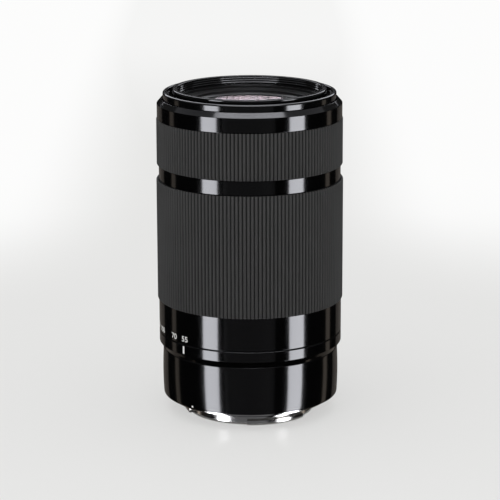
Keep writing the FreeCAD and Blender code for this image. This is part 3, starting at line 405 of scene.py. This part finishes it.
pin_low, pin_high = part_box("contact_pins")
pin_radius = 0.00062
pin_circle = 0.0174
dome = 0.00018
pin = turned("contact_pin_domes", [
    (0, pin_low.z), (pin_radius, pin_low.z + dome, 0.00005), (pin_radius, pin_high.z, 0.00005),
    (0, pin_high.z),
], steps=20)
pin.data.transform(Matrix.Translation((pin_circle, 0, 0)))
first_contact = INDEX_ANGLE + math.pi - CONTACT_PITCH * (CONTACT_COUNT - 1) / 2
repeated(pin, CONTACT_COUNT, CONTACT_PITCH, first_contact, contact_gold)
settled(pin, contact_gold, "barrel", "contact_pins")


# Rear cover: a moulded shell, barrelled by a quarter of a millimetre and finely eroded. It carries
# the white bead that the user lines up with the camera's mark.

cover_black = finish_material("cover_black", (0.001, 0.001, 0.0011), 0.12, shade=0.3,
                              gloss_change=0.04, grain=1800.0, depth=2e-6)
cover_low, cover_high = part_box("rear_cover")
cover_radius = cover_high.x
cover_barrelling = 0.00025
cover_end = cover_radius - cover_barrelling
cover_bore = 0.0215
cover_seat = 0.02864
cover_floor = 0.0026
edge = 0.0003
settled(turned("rear_cover_shell", [
    (cover_bore, cover_low.z, 0.0001), (cover_end, cover_low.z, edge, cover_barrelling),
    (cover_end, cover_high.z, edge), (cover_seat, cover_high.z, 0.00005), (cover_seat, cover_floor),
    (cover_bore, cover_floor, 0.0001),
]), cover_black, "barrel", "rear_cover")


def bead(name, radius, height, size, angle):
    """A small domed dot set in a round wall."""
    shape = bmesh.new()
    bmesh.ops.create_uvsphere(shape, u_segments=24, v_segments=12, radius=size)
    bmesh.ops.scale(shape, vec=(BEAD_FLATNESS, 1, 1), verts=shape.verts)
    bmesh.ops.translate(shape, vec=(radius, 0, height), verts=shape.verts)
    bmesh.ops.rotate(shape, matrix=Matrix.Rotation(angle, 3, "Z"), verts=shape.verts)
    mesh = bpy.data.meshes.new(name)
    shape.to_mesh(mesh)
    shape.free()
    for face in mesh.polygons:
        face.use_smooth = True
    return placed(name, mesh)


BEAD_FLATNESS = 0.25
mark_white = finish_material("mark_white", (0.8, 0.8, 0.78), 0.45, shade=0.05, grain=6000.0,
                             depth=3e-6)
mark_angle = INDEX_ANGLE + math.radians(5)
mark_height = cover_low.z + 0.0008
mark_size = 0.00042
mount_mark = bead("mount_index_bead", cover_end, mark_height, mark_size, mark_angle)
settled(mount_mark, mark_white, "barrel")


# Index ring: a gloss lacquered aluminium ring with an undercut bevel, pressed on the main barrel.
# Its engraved line is filled with white paint.

gloss_black = finish_material("black_lacquer", (0.001, 0.001, 0.0011), 0.11, shade=0.3,
                              gloss_change=0.03, grain=1500.0, depth=1.5e-6)
ring_low, ring_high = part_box("index_ring")
band_radius = ring_high.x
bevel_top = ring_low.z + 0.0022
ring_seat = 0.02983
settled(turned("index_ring_band", [
    (ring_seat, ring_low.z), (cover_radius - edge, ring_low.z, 0.00008),
    (cover_radius + 0.0002, ring_low.z + 0.0009, 0.0002),
    (band_radius, bevel_top, 0.00015), (band_radius, ring_high.z, 0.0003), (ring_seat, ring_high.z),
]), gloss_black, "barrel", "index_ring")


def wrapped(piece, radius, angle, height):
    """Bends a flat mesh drawn in X and Y round the lens, with its X along the turn and its Y up."""
    for vertex in piece.data.vertices:
        turn = angle + vertex.co.x / radius
        out = radius + vertex.co.z
        vertex.co = (out * math.cos(turn), out * math.sin(turn), height + vertex.co.y)


def paint_bar(name, width, height, columns=6):
    """A thin closed slab of paint, divided so that it can be bent."""
    shape = bmesh.new()
    bmesh.ops.create_cube(shape, size=1)
    bmesh.ops.scale(shape, vec=(width, height, PAINT_DEPTH * 2), verts=shape.verts)
    lengthways = [e for e in shape.edges if abs(e.verts[0].co.x - e.verts[1].co.x) > width / 2]
    bmesh.ops.subdivide_edges(shape, edges=lengthways, cuts=columns)
    mesh = bpy.data.meshes.new(name)
    shape.to_mesh(mesh)
    shape.free()
    return placed(name, mesh)


PAINT_DEPTH = 0.00002
line_width = 0.00075
line_height = 0.0026
line_middle = (bevel_top + ring_high.z) / 2
index_line = paint_bar("index_line", line_width, line_height)
wrapped(index_line, band_radius, INDEX_ANGLE, line_middle)
settled(index_line, mark_white, "barrel")


# Zoom ring: a gloss sleeve whose rear band carries the focal lengths in white paint, with a ribbed
# rubber grip stretched over the rest of it.

FOCAL_LENGTHS = (("55", 271.1), ("70", 260.6), ("100", 243.1), ("135", 229.6), ("210", 209.6))

zoom_low, zoom_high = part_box("zoom_ring")
grip_low, grip_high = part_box("zoom_grip")
scale_radius = zoom_high.x
rubber_thickness = 0.00095
sleeve_radius = grip_high.x - rubber_thickness
sleeve_bore = 0.02995
settled(turned("zoom_ring_sleeve", [
    (sleeve_bore, zoom_low.z), (scale_radius, zoom_low.z, 0.00015), (scale_radius, grip_low.z, 0.0001),
    (sleeve_radius, grip_low.z), (sleeve_radius, zoom_high.z, 0.00008), (sleeve_bore, zoom_high.z),
]), gloss_black, "zoom_ring", "zoom_ring")

number_height = 0.00195
number_middle = zoom_low.z + 0.00175
LETTER_TO_DIGIT = 1.38
DIGIT_WEIGHT = 0.000025
DIGIT_WIDENING = 1.15


def number(text, angle):
    """A focal length in paint on the scale band."""
    curve = bpy.data.curves.new("focal_length_" + text, "FONT")
    curve.body = text
    curve.align_x = "CENTER"
    curve.align_y = "CENTER"
    curve.size = number_height * LETTER_TO_DIGIT
    curve.extrude = PAINT_DEPTH
    curve.resolution_u = 6
    curve.offset = DIGIT_WEIGHT
    drawn = bpy.data.objects.new(curve.name, curve)
    mesh = bpy.data.meshes.new_from_object(drawn)
    bpy.data.objects.remove(drawn)
    mesh.transform(Matrix.Diagonal((DIGIT_WIDENING, 1, 1, 1)))
    piece = placed("focal_length_" + text, mesh)
    wrapped(piece, scale_radius, math.radians(angle), number_middle)
    settled(piece, mark_white, "zoom_ring")


for text, angle in FOCAL_LENGTHS:
    number(text, angle)


def rib(name, radius, depth, width, low, high):
    """One rounded grip rib along the lens with sloping ends, standing at angle zero."""
    half = width / 2
    side = [(half * across, depth * up) for across, up in RIB_CURVE]
    foot = (half, -RIB_SINK)
    section = [(-aside, up) for aside, up in (foot, *side)] + [*side[::-1], foot]
    stations = ((low, RIB_END_SHARE), (low + RIB_END_SLOPE, 1.0), (high - RIB_END_SLOPE, 1.0),
                (high, RIB_END_SHARE))
    shape = bmesh.new()
    rings = [[shape.verts.new((radius + up * share, aside, z)) for aside, up in section]
             for z, share in stations]
    shape.faces.new(rings[0])
    shape.faces.new(rings[-1])
    for below, above in zip(rings, rings[1:]):
        for k in range(len(section)):
            after = (k + 1) % len(section)
            shape.faces.new((below[k], below[after], above[after], above[k]))
    bmesh.ops.recalc_face_normals(shape, faces=shape.faces)
    mesh = bpy.data.meshes.new(name)
    shape.to_mesh(mesh)
    shape.free()
    for face in mesh.polygons:
        face.use_smooth = True
    mesh.set_sharp_from_angle(angle=math.radians(50))
    return placed(name, mesh)


grip_rubber = finish_material("grip_rubber", (0.05, 0.05, 0.0495), 0.6, shade=0.25, patch=60.0,
                              grain=7000.0, depth=8e-6, specular=0.15)
# Painted shade: the sleeve between the ribs gets a darker copy of the grip rubber, standing in for the
# shade in the grooves
groove_rubber_painted_shade = finish_material("groove_rubber_painted_shade", (0.012, 0.012, 0.0118), 0.75, shade=0.4,
                                patch=60.0, grain=7000.0, depth=8e-6, specular=0.1)
RIB_COUNT = 152
RIB_DEPTH = 0.00042
RIB_SHARE = 0.74
RIB_SINK = 0.0001
RIB_CURVE = ((1, 0), (0.62, 0.8), (0.341, 0.97))
RIB_END_SHARE = 0.55
RIB_END_SLOPE = 0.00025
SLEEVE_GAP = 0.00003


def grip(name, node, body):
    """A rubber grip: a thin sleeve in a darker copy of the rubber, as painted shade between the ribs,
    and the ribs that run its whole length.
    """
    low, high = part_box(node)
    root = high.x - RIB_DEPTH
    bore = high.x - rubber_thickness + SLEEVE_GAP
    settled(turned(name + "_sleeve", [
        (bore, low.z, 0.00005), (root, low.z, 0.0001), (root, high.z, 0.0001), (bore, high.z, 0.00005),
    ]), groove_rubber_painted_shade, body, node)
    pitch = math.tau / RIB_COUNT
    ribs = rib(name + "_ribs", root, RIB_DEPTH, pitch * root * RIB_SHARE, low.z, high.z)
    repeated(ribs, RIB_COUNT, pitch, 0.0, grip_rubber)
    settled(ribs, grip_rubber, body, node)


grip("zoom_grip_rubber", "zoom_grip", "zoom_ring")


# Main barrel: the fixed aluminium tube that everything rides on. Its lacquered collar shows between
# the two grips, with the circuit board, guide barrel and sensors hidden inside it.

collar_gap = 0.00015
collar_low = grip_high.z + collar_gap
collar_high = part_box("focus_grip")[0].z - collar_gap
collar_lift = 0.00002
collar_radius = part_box("main_barrel")[1].x + collar_lift
collar_bore = collar_radius - 0.00062
inner_anodised = finish_material("inner_anodised", (0.018, 0.018, 0.019), 0.42, grain=6000.0)
board_green = finish_material("board_lacquer", (0.02, 0.1, 0.05), 0.35, grain=4000.0)
seal_felt = finish_material("seal_felt", (0.01, 0.01, 0.01), 0.95, grain=9000.0, depth=6e-5)
collar = turned("main_barrel_collar", [
    (collar_bore, collar_low), (collar_radius, collar_low, 0.00012),
    (collar_radius, collar_high, 0.00012), (collar_bore, collar_high),
])
settled(collar, gloss_black, "barrel")
settled(refined("main_barrel_tube", "main_barrel"), inner_anodised, "barrel", "main_barrel")
dressed(inner_anodised, "guide_barrel", "cam_retaining_ring", "focus_sensor")
dressed(board_green, "main_board", "zoom_sensor")
dressed(seal_felt, "front_seal")
dressed(screw_steel, "guide_screws")


# Zoom drive: two steel keys take the zoom ring's turn to an anodised cam barrel, whose slots push
# three sets of steel followers along the lens.

slide_steel = finish_material("slide_steel", (0.6, 0.6, 0.61), 0.22, 1.0, rings=9000.0, depth=2e-6)
cam_anodised = finish_material("cam_anodised", (0.05, 0.05, 0.054), 0.38, 0.6, grain=5000.0,
                               depth=3e-6)
dressed(cam_anodised, "cam_barrel")
dressed(slide_steel, "zoom_keys", "front_followers", "variator_followers", "carriage_followers")
dressed(contact_gold, "zoom_brush")


# Focus ring: a light sleeve under a second ribbed grip. It turns without stops, and a magnetised
# strip inside it tells the lens how far.

magnet_steel = finish_material("magnet_steel", (0.42, 0.42, 0.44), 0.35, 1.0, grain=6000.0,
                               depth=3e-6)
grip("focus_grip_rubber", "focus_grip", "focus_ring")
settled(refined("focus_ring_sleeve", "focus_ring"), inner_anodised, "focus_ring", "focus_ring")
dressed(magnet_steel, "focus_scale")


# Front trim ring: a gloss lacquered nose ring with a bevel, pushed on the front of the main barrel.

trim_low, trim_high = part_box("front_trim_ring")
trim_radius = trim_high.x
trim_seat = 0.02983
trim_shoulder = trim_low.z + 0.00495
settled(turned("front_trim_band", [
    (trim_seat, trim_low.z), (trim_radius, trim_low.z, 0.00012), (trim_radius, trim_shoulder, 0.0002),
    (trim_seat + 0.00025, trim_high.z, 0.0001), (trim_seat, trim_high.z),
]), gloss_black, "barrel", "front_trim_ring")


# Front barrel: the tube that comes forward as the lens zooms. It ends in a black ring with the
# filter thread inside, a groove for the hood round that, and two lugs that hold the hood.

front_black = finish_material("front_black", (0.002, 0.002, 0.0021), 0.12, grain=2600.0, depth=2e-6)
tube_finish = finish_material("front_tube_satin", (0.014, 0.014, 0.015), 0.3, grain=3600.0,
                              depth=3e-6)
settled(refined("front_barrel_tube", "front_tube"), tube_finish, "front_barrel", "front_tube")

filter_low, filter_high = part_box("filter_ring")
web_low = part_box("front_tube")[1].z
hood_radius = filter_high.x
hood_bore = 0.0281
hood_top = filter_high.z - 0.00104
groove_floor = hood_top - 0.0038
filter_radius = 0.0262
thread_radius = 0.0245
name_seat = 0.0241
name_seat_top = web_low + 0.003
spigot_outer = 0.02752
spigot_bore = 0.02587
settled(turned("filter_ring_body", [
    (name_seat, web_low), (spigot_bore, web_low), (spigot_bore, filter_low.z, 0.0001),
    (spigot_outer, filter_low.z, 0.0001), (spigot_outer, web_low), (hood_radius, web_low, 0.0001),
    (hood_radius, hood_top, 0.0006), (hood_bore, hood_top, 0.0002), (hood_bore, groove_floor, 0.0002),
    (filter_radius, groove_floor, 0.0002), (filter_radius, filter_high.z, 0.00035),
    (thread_radius, filter_high.z, 0.0002), (thread_radius, name_seat_top, 0.00005),
    (name_seat, name_seat_top, 0.00005),
]), front_black, "front_barrel", "filter_ring")

lug_top = hood_top - 0.0007
lug_height = 0.0011
lug_reach = 0.0009
lug_sweep = math.radians(16)
lug_start = INDEX_ANGLE - math.radians(44) - lug_sweep / 2
lug_root = hood_bore + 0.0003
lug_tip = hood_bore - lug_reach
lug = turned("hood_lugs", [
    (lug_tip, lug_top - lug_height, 0.0001), (lug_root, lug_top - lug_height), (lug_root, lug_top),
    (lug_tip, lug_top, 0.0001),
], steps=24, sweep=lug_sweep)
repeated(lug, 2, math.pi, lug_start, front_black)
settled(lug, front_black, "front_barrel", "filter_ring")


def thread_tree():
    """Geometry Nodes: a helix swept with a small diamond-shaped ridge."""
    tree = bpy.data.node_groups.new("filter_thread_helix", "GeometryNodeTree")
    tree.interface.new_socket(name="Element", in_out="INPUT", socket_type="NodeSocketGeometry")
    for name in ("Radius", "Pitch", "Turns", "Depth", "Half Width", "Bottom"):
        tree.interface.new_socket(name=name, in_out="INPUT", socket_type="NodeSocketFloat")
    tree.interface.new_socket(name="Finish", in_out="INPUT", socket_type="NodeSocketMaterial")
    tree.interface.new_socket(name="Thread", in_out="OUTPUT", socket_type="NodeSocketGeometry")
    given = tree.nodes.new("NodeGroupInput")
    result = tree.nodes.new("NodeGroupOutput")
    helix = tree.nodes.new("GeometryNodeCurveSpiral")
    helix.inputs["Resolution"].default_value = POINTS_PER_TURN
    for socket, name in (("Rotations", "Turns"), ("Start Radius", "Radius"), ("End Radius", "Radius")):
        tree.links.new(given.outputs[name], helix.inputs[socket])
    height = calculated(tree, "MULTIPLY", given.outputs["Pitch"], given.outputs["Turns"])
    tree.links.new(height, helix.inputs["Height"])
    ridge = tree.nodes.new("GeometryNodeCurvePrimitiveQuadrilateral")
    ridge.mode = "KITE"
    for socket, name in (("Width", "Depth"), ("Bottom Height", "Half Width"),
                         ("Top Height", "Half Width")):
        tree.links.new(given.outputs[name], ridge.inputs[socket])
    sweep = tree.nodes.new("GeometryNodeCurveToMesh")
    sweep.inputs["Fill Caps"].default_value = True
    tree.links.new(helix.outputs[0], sweep.inputs["Curve"])
    tree.links.new(ridge.outputs[0], sweep.inputs["Profile Curve"])
    lift = tree.nodes.new("ShaderNodeCombineXYZ")
    tree.links.new(given.outputs["Bottom"], lift.inputs["Z"])
    moved = tree.nodes.new("GeometryNodeTransform")
    tree.links.new(sweep.outputs[0], moved.inputs["Geometry"])
    tree.links.new(lift.outputs[0], moved.inputs["Translation"])
    real = tree.nodes.new("GeometryNodeRealizeInstances")
    painted = tree.nodes.new("GeometryNodeSetMaterial")
    tree.links.new(moved.outputs[0], real.inputs[0])
    tree.links.new(real.outputs[0], painted.inputs["Geometry"])
    tree.links.new(given.outputs["Finish"], painted.inputs["Material"])
    tree.links.new(painted.outputs[0], result.inputs[0])
    return tree


POINTS_PER_TURN = 160
thread = grown(placed("filter_thread", bpy.data.meshes.new("filter_thread")), thread_tree(),
               Radius=thread_radius, Pitch=0.00075, Turns=3.2, Depth=0.00036, Half_Width=0.00023,
               Bottom=name_seat_top + 0.0003, Finish=front_black)
thread.data.set_sharp_from_angle(angle=math.radians(50))
settled(thread, front_black, "front_barrel")


# Name ring and front cell: a matt black ring with a steep wall and a shallow cone keeps the front
# glass in its cell. The lettering that such a ring may carry is left off.

name_black = finish_material("name_ring_black", (0.004, 0.004, 0.0042), 0.3, rings=5200.0, depth=5e-6)
name_low, name_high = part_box("name_ring")
name_radius = name_high.x
glass_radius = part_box("front_doublet")[1].x
name_bore = glass_radius - 0.00045
name_wall = name_radius - 0.0004
name_shelf = name_radius - 0.00057
shelf_outer = name_high.z - 0.0009
shelf_inner = shelf_outer - 0.0002
spigot_step = glass_radius + 0.0005
lip_top = name_low.z + 0.00092
lip_low = lip_top - 0.00018
pocket = glass_radius + 0.00005
settled(turned("name_ring_turned", [
    (pocket, name_low.z), (spigot_step, name_low.z), (spigot_step, web_low), (name_radius, web_low),
    (name_radius, name_high.z, 0.00005), (name_wall, name_high.z, 0.00008),
    (name_shelf, shelf_outer, 0.00008), (spigot_step, shelf_inner, 0.00006),
    (spigot_step - 0.00015, shelf_inner - 0.0009, 0.00005),
    (name_bore, lip_top, 0.00004), (name_bore, lip_low), (pocket, lip_low),
]), name_black, "front_barrel", "name_ring")
dressed(inner_anodised, "front_cell", "front_retaining_ring")


# Front group: a cemented pair and a single element of coated glass. The cement line is what one sees
# of the pair from the front.

FRONT_CURVE = 0.200
CEMENT_CURVE = -0.052
FRONT_BACK_CURVE = -0.300
coated_glass = bpy.data.materials.new("coated_glass")
coated_glass.use_nodes = True
shader = coated_glass.node_tree.nodes["Principled BSDF"]
shader.inputs["Base Color"].default_value = (0.9, 0.93, 0.95, 1)
shader.inputs["Roughness"].default_value = 0.0
shader.inputs["Transmission Weight"].default_value = 1.0
shader.inputs["IOR"].default_value = 1.52
shader.inputs["Specular Tint"].default_value = (1.0, 0.72, 0.74, 1)


def sagitta(curve, radius):
    """How far a spherical surface falls back between the axis and a radius."""
    return curve - math.copysign(math.sqrt(curve * curve - radius * radius), curve)


def lens_element(name, radius, front, rear, front_curve, rear_curve):
    """A glass element between two apex heights, where a positive curve bulges to the front."""
    front_edge = front - sagitta(front_curve, radius)
    rear_edge = rear - sagitta(rear_curve, radius)
    rear_bulge = chord_bulge(rear_curve, radius)
    front_bulge = chord_bulge(front_curve, radius)
    return turned(name, [
        (0, rear, 0, -rear_bulge), (radius, rear_edge), (radius, front_edge, 0, front_bulge), (0, front),
    ], steps=192)


def chord_bulge(curve, radius):
    """How far a surface bows off the straight line from its axis to its edge."""
    chord = math.hypot(radius, sagitta(curve, radius))
    return math.copysign(abs(curve) - math.sqrt(curve * curve - chord * chord / 4), curve)


def glazed(name, body, node):
    """Coated glass for the elements of a CAD node, whose edges are sharper than its surfaces curve."""
    settled(refined(name, node, sharp_angle=20.0), coated_glass, body, node)


front_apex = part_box("front_doublet")[1].z
cement_apex = front_apex - 0.0068
partner_apex = cement_apex - 0.00002
rear_apex = cement_apex - 0.0027
for name, front, rear, curves in (
    ("front_glass", front_apex, cement_apex, (FRONT_CURVE, CEMENT_CURVE)),
    ("front_glass_partner", partner_apex, rear_apex, (CEMENT_CURVE, FRONT_BACK_CURVE)),
):
    element = lens_element(name, glass_radius, front, rear, *curves)
    settled(element, coated_glass, "front_barrel", "front_doublet")
glazed("front_third_glass", "front_barrel", "front_third_element")


# Variator group: a spoked frame with a long running ring, and the three elements that change the
# focal length.

glazed("variator_glass", "variator_group", "variator_elements")
dressed(inner_anodised, "variator_frame")


# Rear carriage: the tube of the master group, with the iris plate and its cover in front of it and
# the stabiliser's base behind.

blade_black = finish_material("blade_black", (0.014, 0.014, 0.014), 0.5, grain=8000.0, depth=3e-6)
glazed("master_glass", "rear_carriage", "master_elements")
dressed(inner_anodised, "carriage_frame", "iris_cover", "stabiliser_base", "rear_frame")
dressed(blade_black, "iris_base")


# Iris: a drive ring whose cam slots swing seven blackened blades.

dressed(blade_black, "iris_drive_ring", *["iris_blade_%d" % (i + 1) for i in range(7)])


# Stabiliser: two frames that slide across each other, moved by coils against a steel yoke.

dressed(magnet_steel, "stabiliser_yoke")
dressed(inner_anodised, "pitch_frame", "yaw_frame")
glazed("stabiliser_glass", "stabiliser_yaw", "stabiliser_element")


# Focus group: a cemented pair in a cell that slides on two polished rods, pushed by a flat copper
# coil. The last element stays in the rear frame behind it.

coil_copper = finish_material("coil_copper", (0.72, 0.36, 0.18), 0.35, 1.0, rings=12000.0, depth=1e-5)
dressed(inner_anodised, "focus_frame")
dressed(coil_copper, "focus_coil")
dressed(magnet_steel, "focus_yoke")
dressed(slide_steel, "focus_rods")
glazed("focus_glass", "focus_group", "focus_doublet")
glazed("rear_glass", "rear_carriage", "rear_element")


# Studio: a pale glossy table in soft light. Its camera-only glow is painted light, with painted shade
# near the lens and along the line from camera to lens. Two tall softboxes, dim ones further round and
# panels overhead are seen only in reflections.

AIM = Vector((0, 0, 0.05132))
CAMERA_TURN = INDEX_ANGLE + math.radians(45.9)
CAMERA_DISTANCE = 0.75
CAMERA_HEIGHT = math.radians(13.86)
CAMERA_ROLL = math.radians(-0.19)
FOCAL_LENGTH = 156.7
SENSOR_WIDTH = 36.0

camera_data = bpy.data.cameras.new("photo_camera")
camera_data.lens = FOCAL_LENGTH
camera_data.sensor_width = SENSOR_WIDTH
camera = bpy.data.objects.new("photo_camera", camera_data)
bpy.context.scene.collection.objects.link(camera)
towards_camera = Vector((math.cos(CAMERA_TURN) * math.cos(CAMERA_HEIGHT),
                         math.sin(CAMERA_TURN) * math.cos(CAMERA_HEIGHT), math.sin(CAMERA_HEIGHT)))
camera.location = AIM + towards_camera * CAMERA_DISTANCE
facing = (-towards_camera).to_track_quat("-Z", "Y").to_matrix()
camera.rotation_euler = (facing @ Matrix.Rotation(CAMERA_ROLL, 3, "Z")).to_euler()
bpy.context.scene.camera = camera

SQUARE = ((-1, -1), (1, -1), (1, 1), (-1, 1))
FLOOR_HALF = 4.0
TABLE_SHADE = (0.89, 0.89, 0.885, 1)
PALE_TABLE = (0.975, 0.975, 0.972, 1)
# Colour of the painted shade in the table's glow, near the lens and along the line from the camera
PAINTED_SHADE_TABLE = (0.8, 0.8, 0.79, 1)
GLOW_REACH = (0.05, 0.4)
SIDE_REACH = (0.15, 0.33)
SIDE_WIDTH = (0.035, 0.11)
SIDE_SHIFT = 0.012
BACK_REACH = (0.4, 0.9)
BACK_PALENESS = 0.65
NEAR_SHARE = 0.65
SHORT_RAY = 0.002
COLOUR_A, COLOUR_B, COLOUR_OUT = 6, 7, 2
FLOAT_A, FLOAT_B = 2, 3


def eased(tree, value, start, end, first=0.0, last=1.0):
    """A smooth change from one level to another while a value goes from its start to its end."""
    node = tree.nodes.new("ShaderNodeMapRange")
    node.interpolation_type = "SMOOTHSTEP"
    for name, setting in (("Value", value), ("From Min", start), ("From Max", end), ("To Min", first),
                          ("To Max", last)):
        fed(tree, setting, node.inputs[name])
    return node.outputs[0]


floor_level = cad_box[0][2]
floor_mesh = bpy.data.meshes.new("table_top")
corners = [(x * FLOOR_HALF, y * FLOOR_HALF, floor_level) for x, y in SQUARE]
floor_mesh.from_pydata(corners, [], [(0, 1, 2, 3)])
table = placed("table_top", floor_mesh)
table_paint = bpy.data.materials.new("table_paint")
table_paint.use_nodes = True
tree = table_paint.node_tree
shader = tree.nodes["Principled BSDF"]
shader.inputs["Base Color"].default_value = TABLE_SHADE
shader.inputs["Roughness"].default_value = 0.2
shader.inputs["Specular IOR Level"].default_value = 0.05
rays = tree.nodes.new("ShaderNodeLightPath")
long_ray = calculated(tree, "GREATER_THAN", rays.outputs["Ray Length"], SHORT_RAY)
passed = calculated(tree, "MULTIPLY", long_ray, rays.outputs["Is Glossy Ray"])
clear = tree.nodes.new("ShaderNodeBsdfTransparent")
either = tree.nodes.new("ShaderNodeMixShader")
tree.links.new(passed, either.inputs[0])
tree.links.new(shader.outputs[0], either.inputs[1])
tree.links.new(clear.outputs[0], either.inputs[2])
distance = tree.nodes.new("ShaderNodeVectorMath")
distance.operation = "LENGTH"
reach = distance.outputs["Value"]
place = tree.nodes.new("ShaderNodeTexCoord").outputs["Object"]
tree.links.new(place, distance.inputs[0])
aside = tree.nodes.new("ShaderNodeVectorMath")
aside.operation = "DOT_PRODUCT"
aside.inputs[1].default_value = (-math.sin(CAMERA_TURN), math.cos(CAMERA_TURN), 0)
tree.links.new(place, aside.inputs[0])
lateral = calculated(tree, "ABSOLUTE", calculated(tree, "ADD", aside.outputs["Value"], SIDE_SHIFT))
at_sides = calculated(tree, "MULTIPLY", eased(tree, lateral, *SIDE_WIDTH),
                      eased(tree, reach, *SIDE_REACH))
painted_shade_fade = calculated(tree, "MAXIMUM", at_sides, eased(tree, reach, *BACK_REACH, 0.0, BACK_PALENESS))
# Painted shade: the camera-only glow is darker near the lens and along the line from camera to lens
# behind it, and paler to the sides and far off
shading = tree.nodes.new("ShaderNodeMix")
shading.data_type = "RGBA"
shading.inputs[COLOUR_A].default_value = PAINTED_SHADE_TABLE
shading.inputs[COLOUR_B].default_value = PALE_TABLE
tree.links.new(painted_shade_fade, shading.inputs[0])
painted_table_glow = tree.nodes.new("ShaderNodeEmission")
tree.links.new(shading.outputs[COLOUR_OUT], painted_table_glow.inputs["Color"])
faded = tree.nodes.new("ShaderNodeMixShader")
glow_share = eased(tree, reach, *GLOW_REACH, NEAR_SHARE)
seen_far = calculated(tree, "MULTIPLY", glow_share, rays.outputs["Is Camera Ray"])
tree.links.new(seen_far, faded.inputs[0])
tree.links.new(either.outputs[0], faded.inputs[1])
tree.links.new(painted_table_glow.outputs[0], faded.inputs[2])
tree.links.new(faded.outputs[0], tree.nodes["Material Output"].inputs["Surface"])
floor_mesh.materials.append(table_paint)

ROOM_LIGHT = 0.85
GLOSS_LOW = 0.005
GLOSS_HIGH = 0.08
world = bpy.data.worlds.new("studio")
bpy.context.scene.world = world
world.use_nodes = True
tree = world.node_tree
backdrop = tree.nodes["Background"]
backdrop.inputs["Color"].default_value = (1, 1, 1, 1)
rays = tree.nodes.new("ShaderNodeLightPath")
direction = tree.nodes.new("ShaderNodeSeparateXYZ")
tree.links.new(tree.nodes.new("ShaderNodeTexCoord").outputs["Generated"], direction.inputs[0])
rise = tree.nodes.new("ShaderNodeMapRange")
rise.inputs["From Min"].default_value = 0.0
rise.inputs["From Max"].default_value = 0.5
rise.inputs["To Min"].default_value = GLOSS_LOW
rise.inputs["To Max"].default_value = GLOSS_HIGH
tree.links.new(direction.outputs["Z"], rise.inputs["Value"])
seen = tree.nodes.new("ShaderNodeMix")
seen.inputs[FLOAT_A].default_value = ROOM_LIGHT
tree.links.new(rays.outputs["Is Glossy Ray"], seen.inputs[0])
tree.links.new(rise.outputs[0], seen.inputs[FLOAT_B])
tree.links.new(seen.outputs[0], backdrop.inputs["Strength"])


def panel(name, mesh, strength, tint):
    """Makes a mesh glow for reflections alone."""
    glow = bpy.data.materials.new(name)
    glow.use_nodes = True
    shader = glow.node_tree.nodes["Principled BSDF"]
    shader.inputs["Base Color"].default_value = (0, 0, 0, 1)
    shader.inputs["Emission Color"].default_value = (*tint, 1)
    shader.inputs["Emission Strength"].default_value = strength
    mesh.materials.append(glow)
    box = placed(name, mesh)
    box.visible_camera = False
    box.visible_diffuse = False
    box.visible_shadow = False
    box.visible_transmission = False
    return box


def softbox(name, turn, half_width, low, high, distance, strength, tint):
    """An upright glowing panel that only reflections see, centred on a turn about the lens."""
    mesh = bpy.data.meshes.new(name)
    across = math.tan(half_width) * distance
    corners = [(distance, x * across, low if y < 0 else high) for x, y in SQUARE]
    mesh.from_pydata([Matrix.Rotation(turn, 3, "Z") @ Vector(c) for c in corners], [], [(0, 1, 2, 3)])
    return panel(name, mesh, strength, tint)


STRIP_TINT = (0.93, 0.94, 1.0)
EDGE_TINT = (1.0, 0.85, 0.7)
for name, turn, half_width, strength, tint in (
    ("softbox_left", -50.9, 10.1, 12.0, STRIP_TINT), ("softbox_right", 59.9, 10.3, 12.0, STRIP_TINT),
    ("softbox_front", -1.0, 32.0, 0.1, STRIP_TINT), ("softbox_far_left", -110.9, 4.2, 0.32, EDGE_TINT),
    ("softbox_far_right", 114.4, 4.5, 0.4, EDGE_TINT), ("softbox_rim_left", 152.0, 14.0, 0.1, EDGE_TINT),
    ("softbox_rim_right", -152.0, 14.0, 0.1, EDGE_TINT),
):
    softbox(name, CAMERA_TURN + math.radians(turn), math.radians(half_width), low=-1.2, high=0.0,
            distance=1.0, strength=strength, tint=tint)
softbox("softbox_behind", CAMERA_TURN + math.pi, math.radians(35), low=0.19, high=0.7, distance=0.3,
        strength=2.4, tint=STRIP_TINT)

PANEL_HEIGHT = 0.9


def overhead_panel(name, forward, half, strength, tint):
    """A level glowing panel over the lens, moved forward to the camera's side."""
    mesh = bpy.data.meshes.new(name)
    centre = Matrix.Rotation(CAMERA_TURN, 3, "Z") @ Vector((forward, 0, PANEL_HEIGHT))
    mesh.from_pydata([centre + Vector((x * half, y * half, 0)) for x, y in SQUARE], [], [(0, 1, 2, 3)])
    return panel(name, mesh, strength, tint)


overhead_panel("softbox_overhead", forward=0.32, half=0.42, strength=7.8, tint=STRIP_TINT)
overhead_panel("softbox_overhead_wide", forward=0.0, half=1.2, strength=0.4, tint=STRIP_TINT)
# The inner faces of the front glass mirror this one, which nothing else sees
ceiling = overhead_panel("softbox_ceiling", forward=-0.3, half=0.6, strength=15.0, tint=STRIP_TINT)
ceiling.visible_glossy = False
ceiling.visible_transmission = True

KEY_TURN = CAMERA_TURN - math.radians(20)
KEY_DISTANCE = 0.6
KEY_HEIGHT = 1.1
key = bpy.data.lights.new("key_light", "AREA")
key.shape = "DISK"
key.size = 1.2
key.energy = 2.2
key_light = bpy.data.objects.new("key_light", key)
bpy.context.scene.collection.objects.link(key_light)
key_light.location = Matrix.Rotation(KEY_TURN, 3, "Z") @ Vector((KEY_DISTANCE, 0, KEY_HEIGHT))
key_light.rotation_euler = (AIM - key_light.location).to_track_quat("-Z", "Y").to_euler()
key_light.visible_glossy = False

bpy.context.scene.view_settings.view_transform = "Standard"
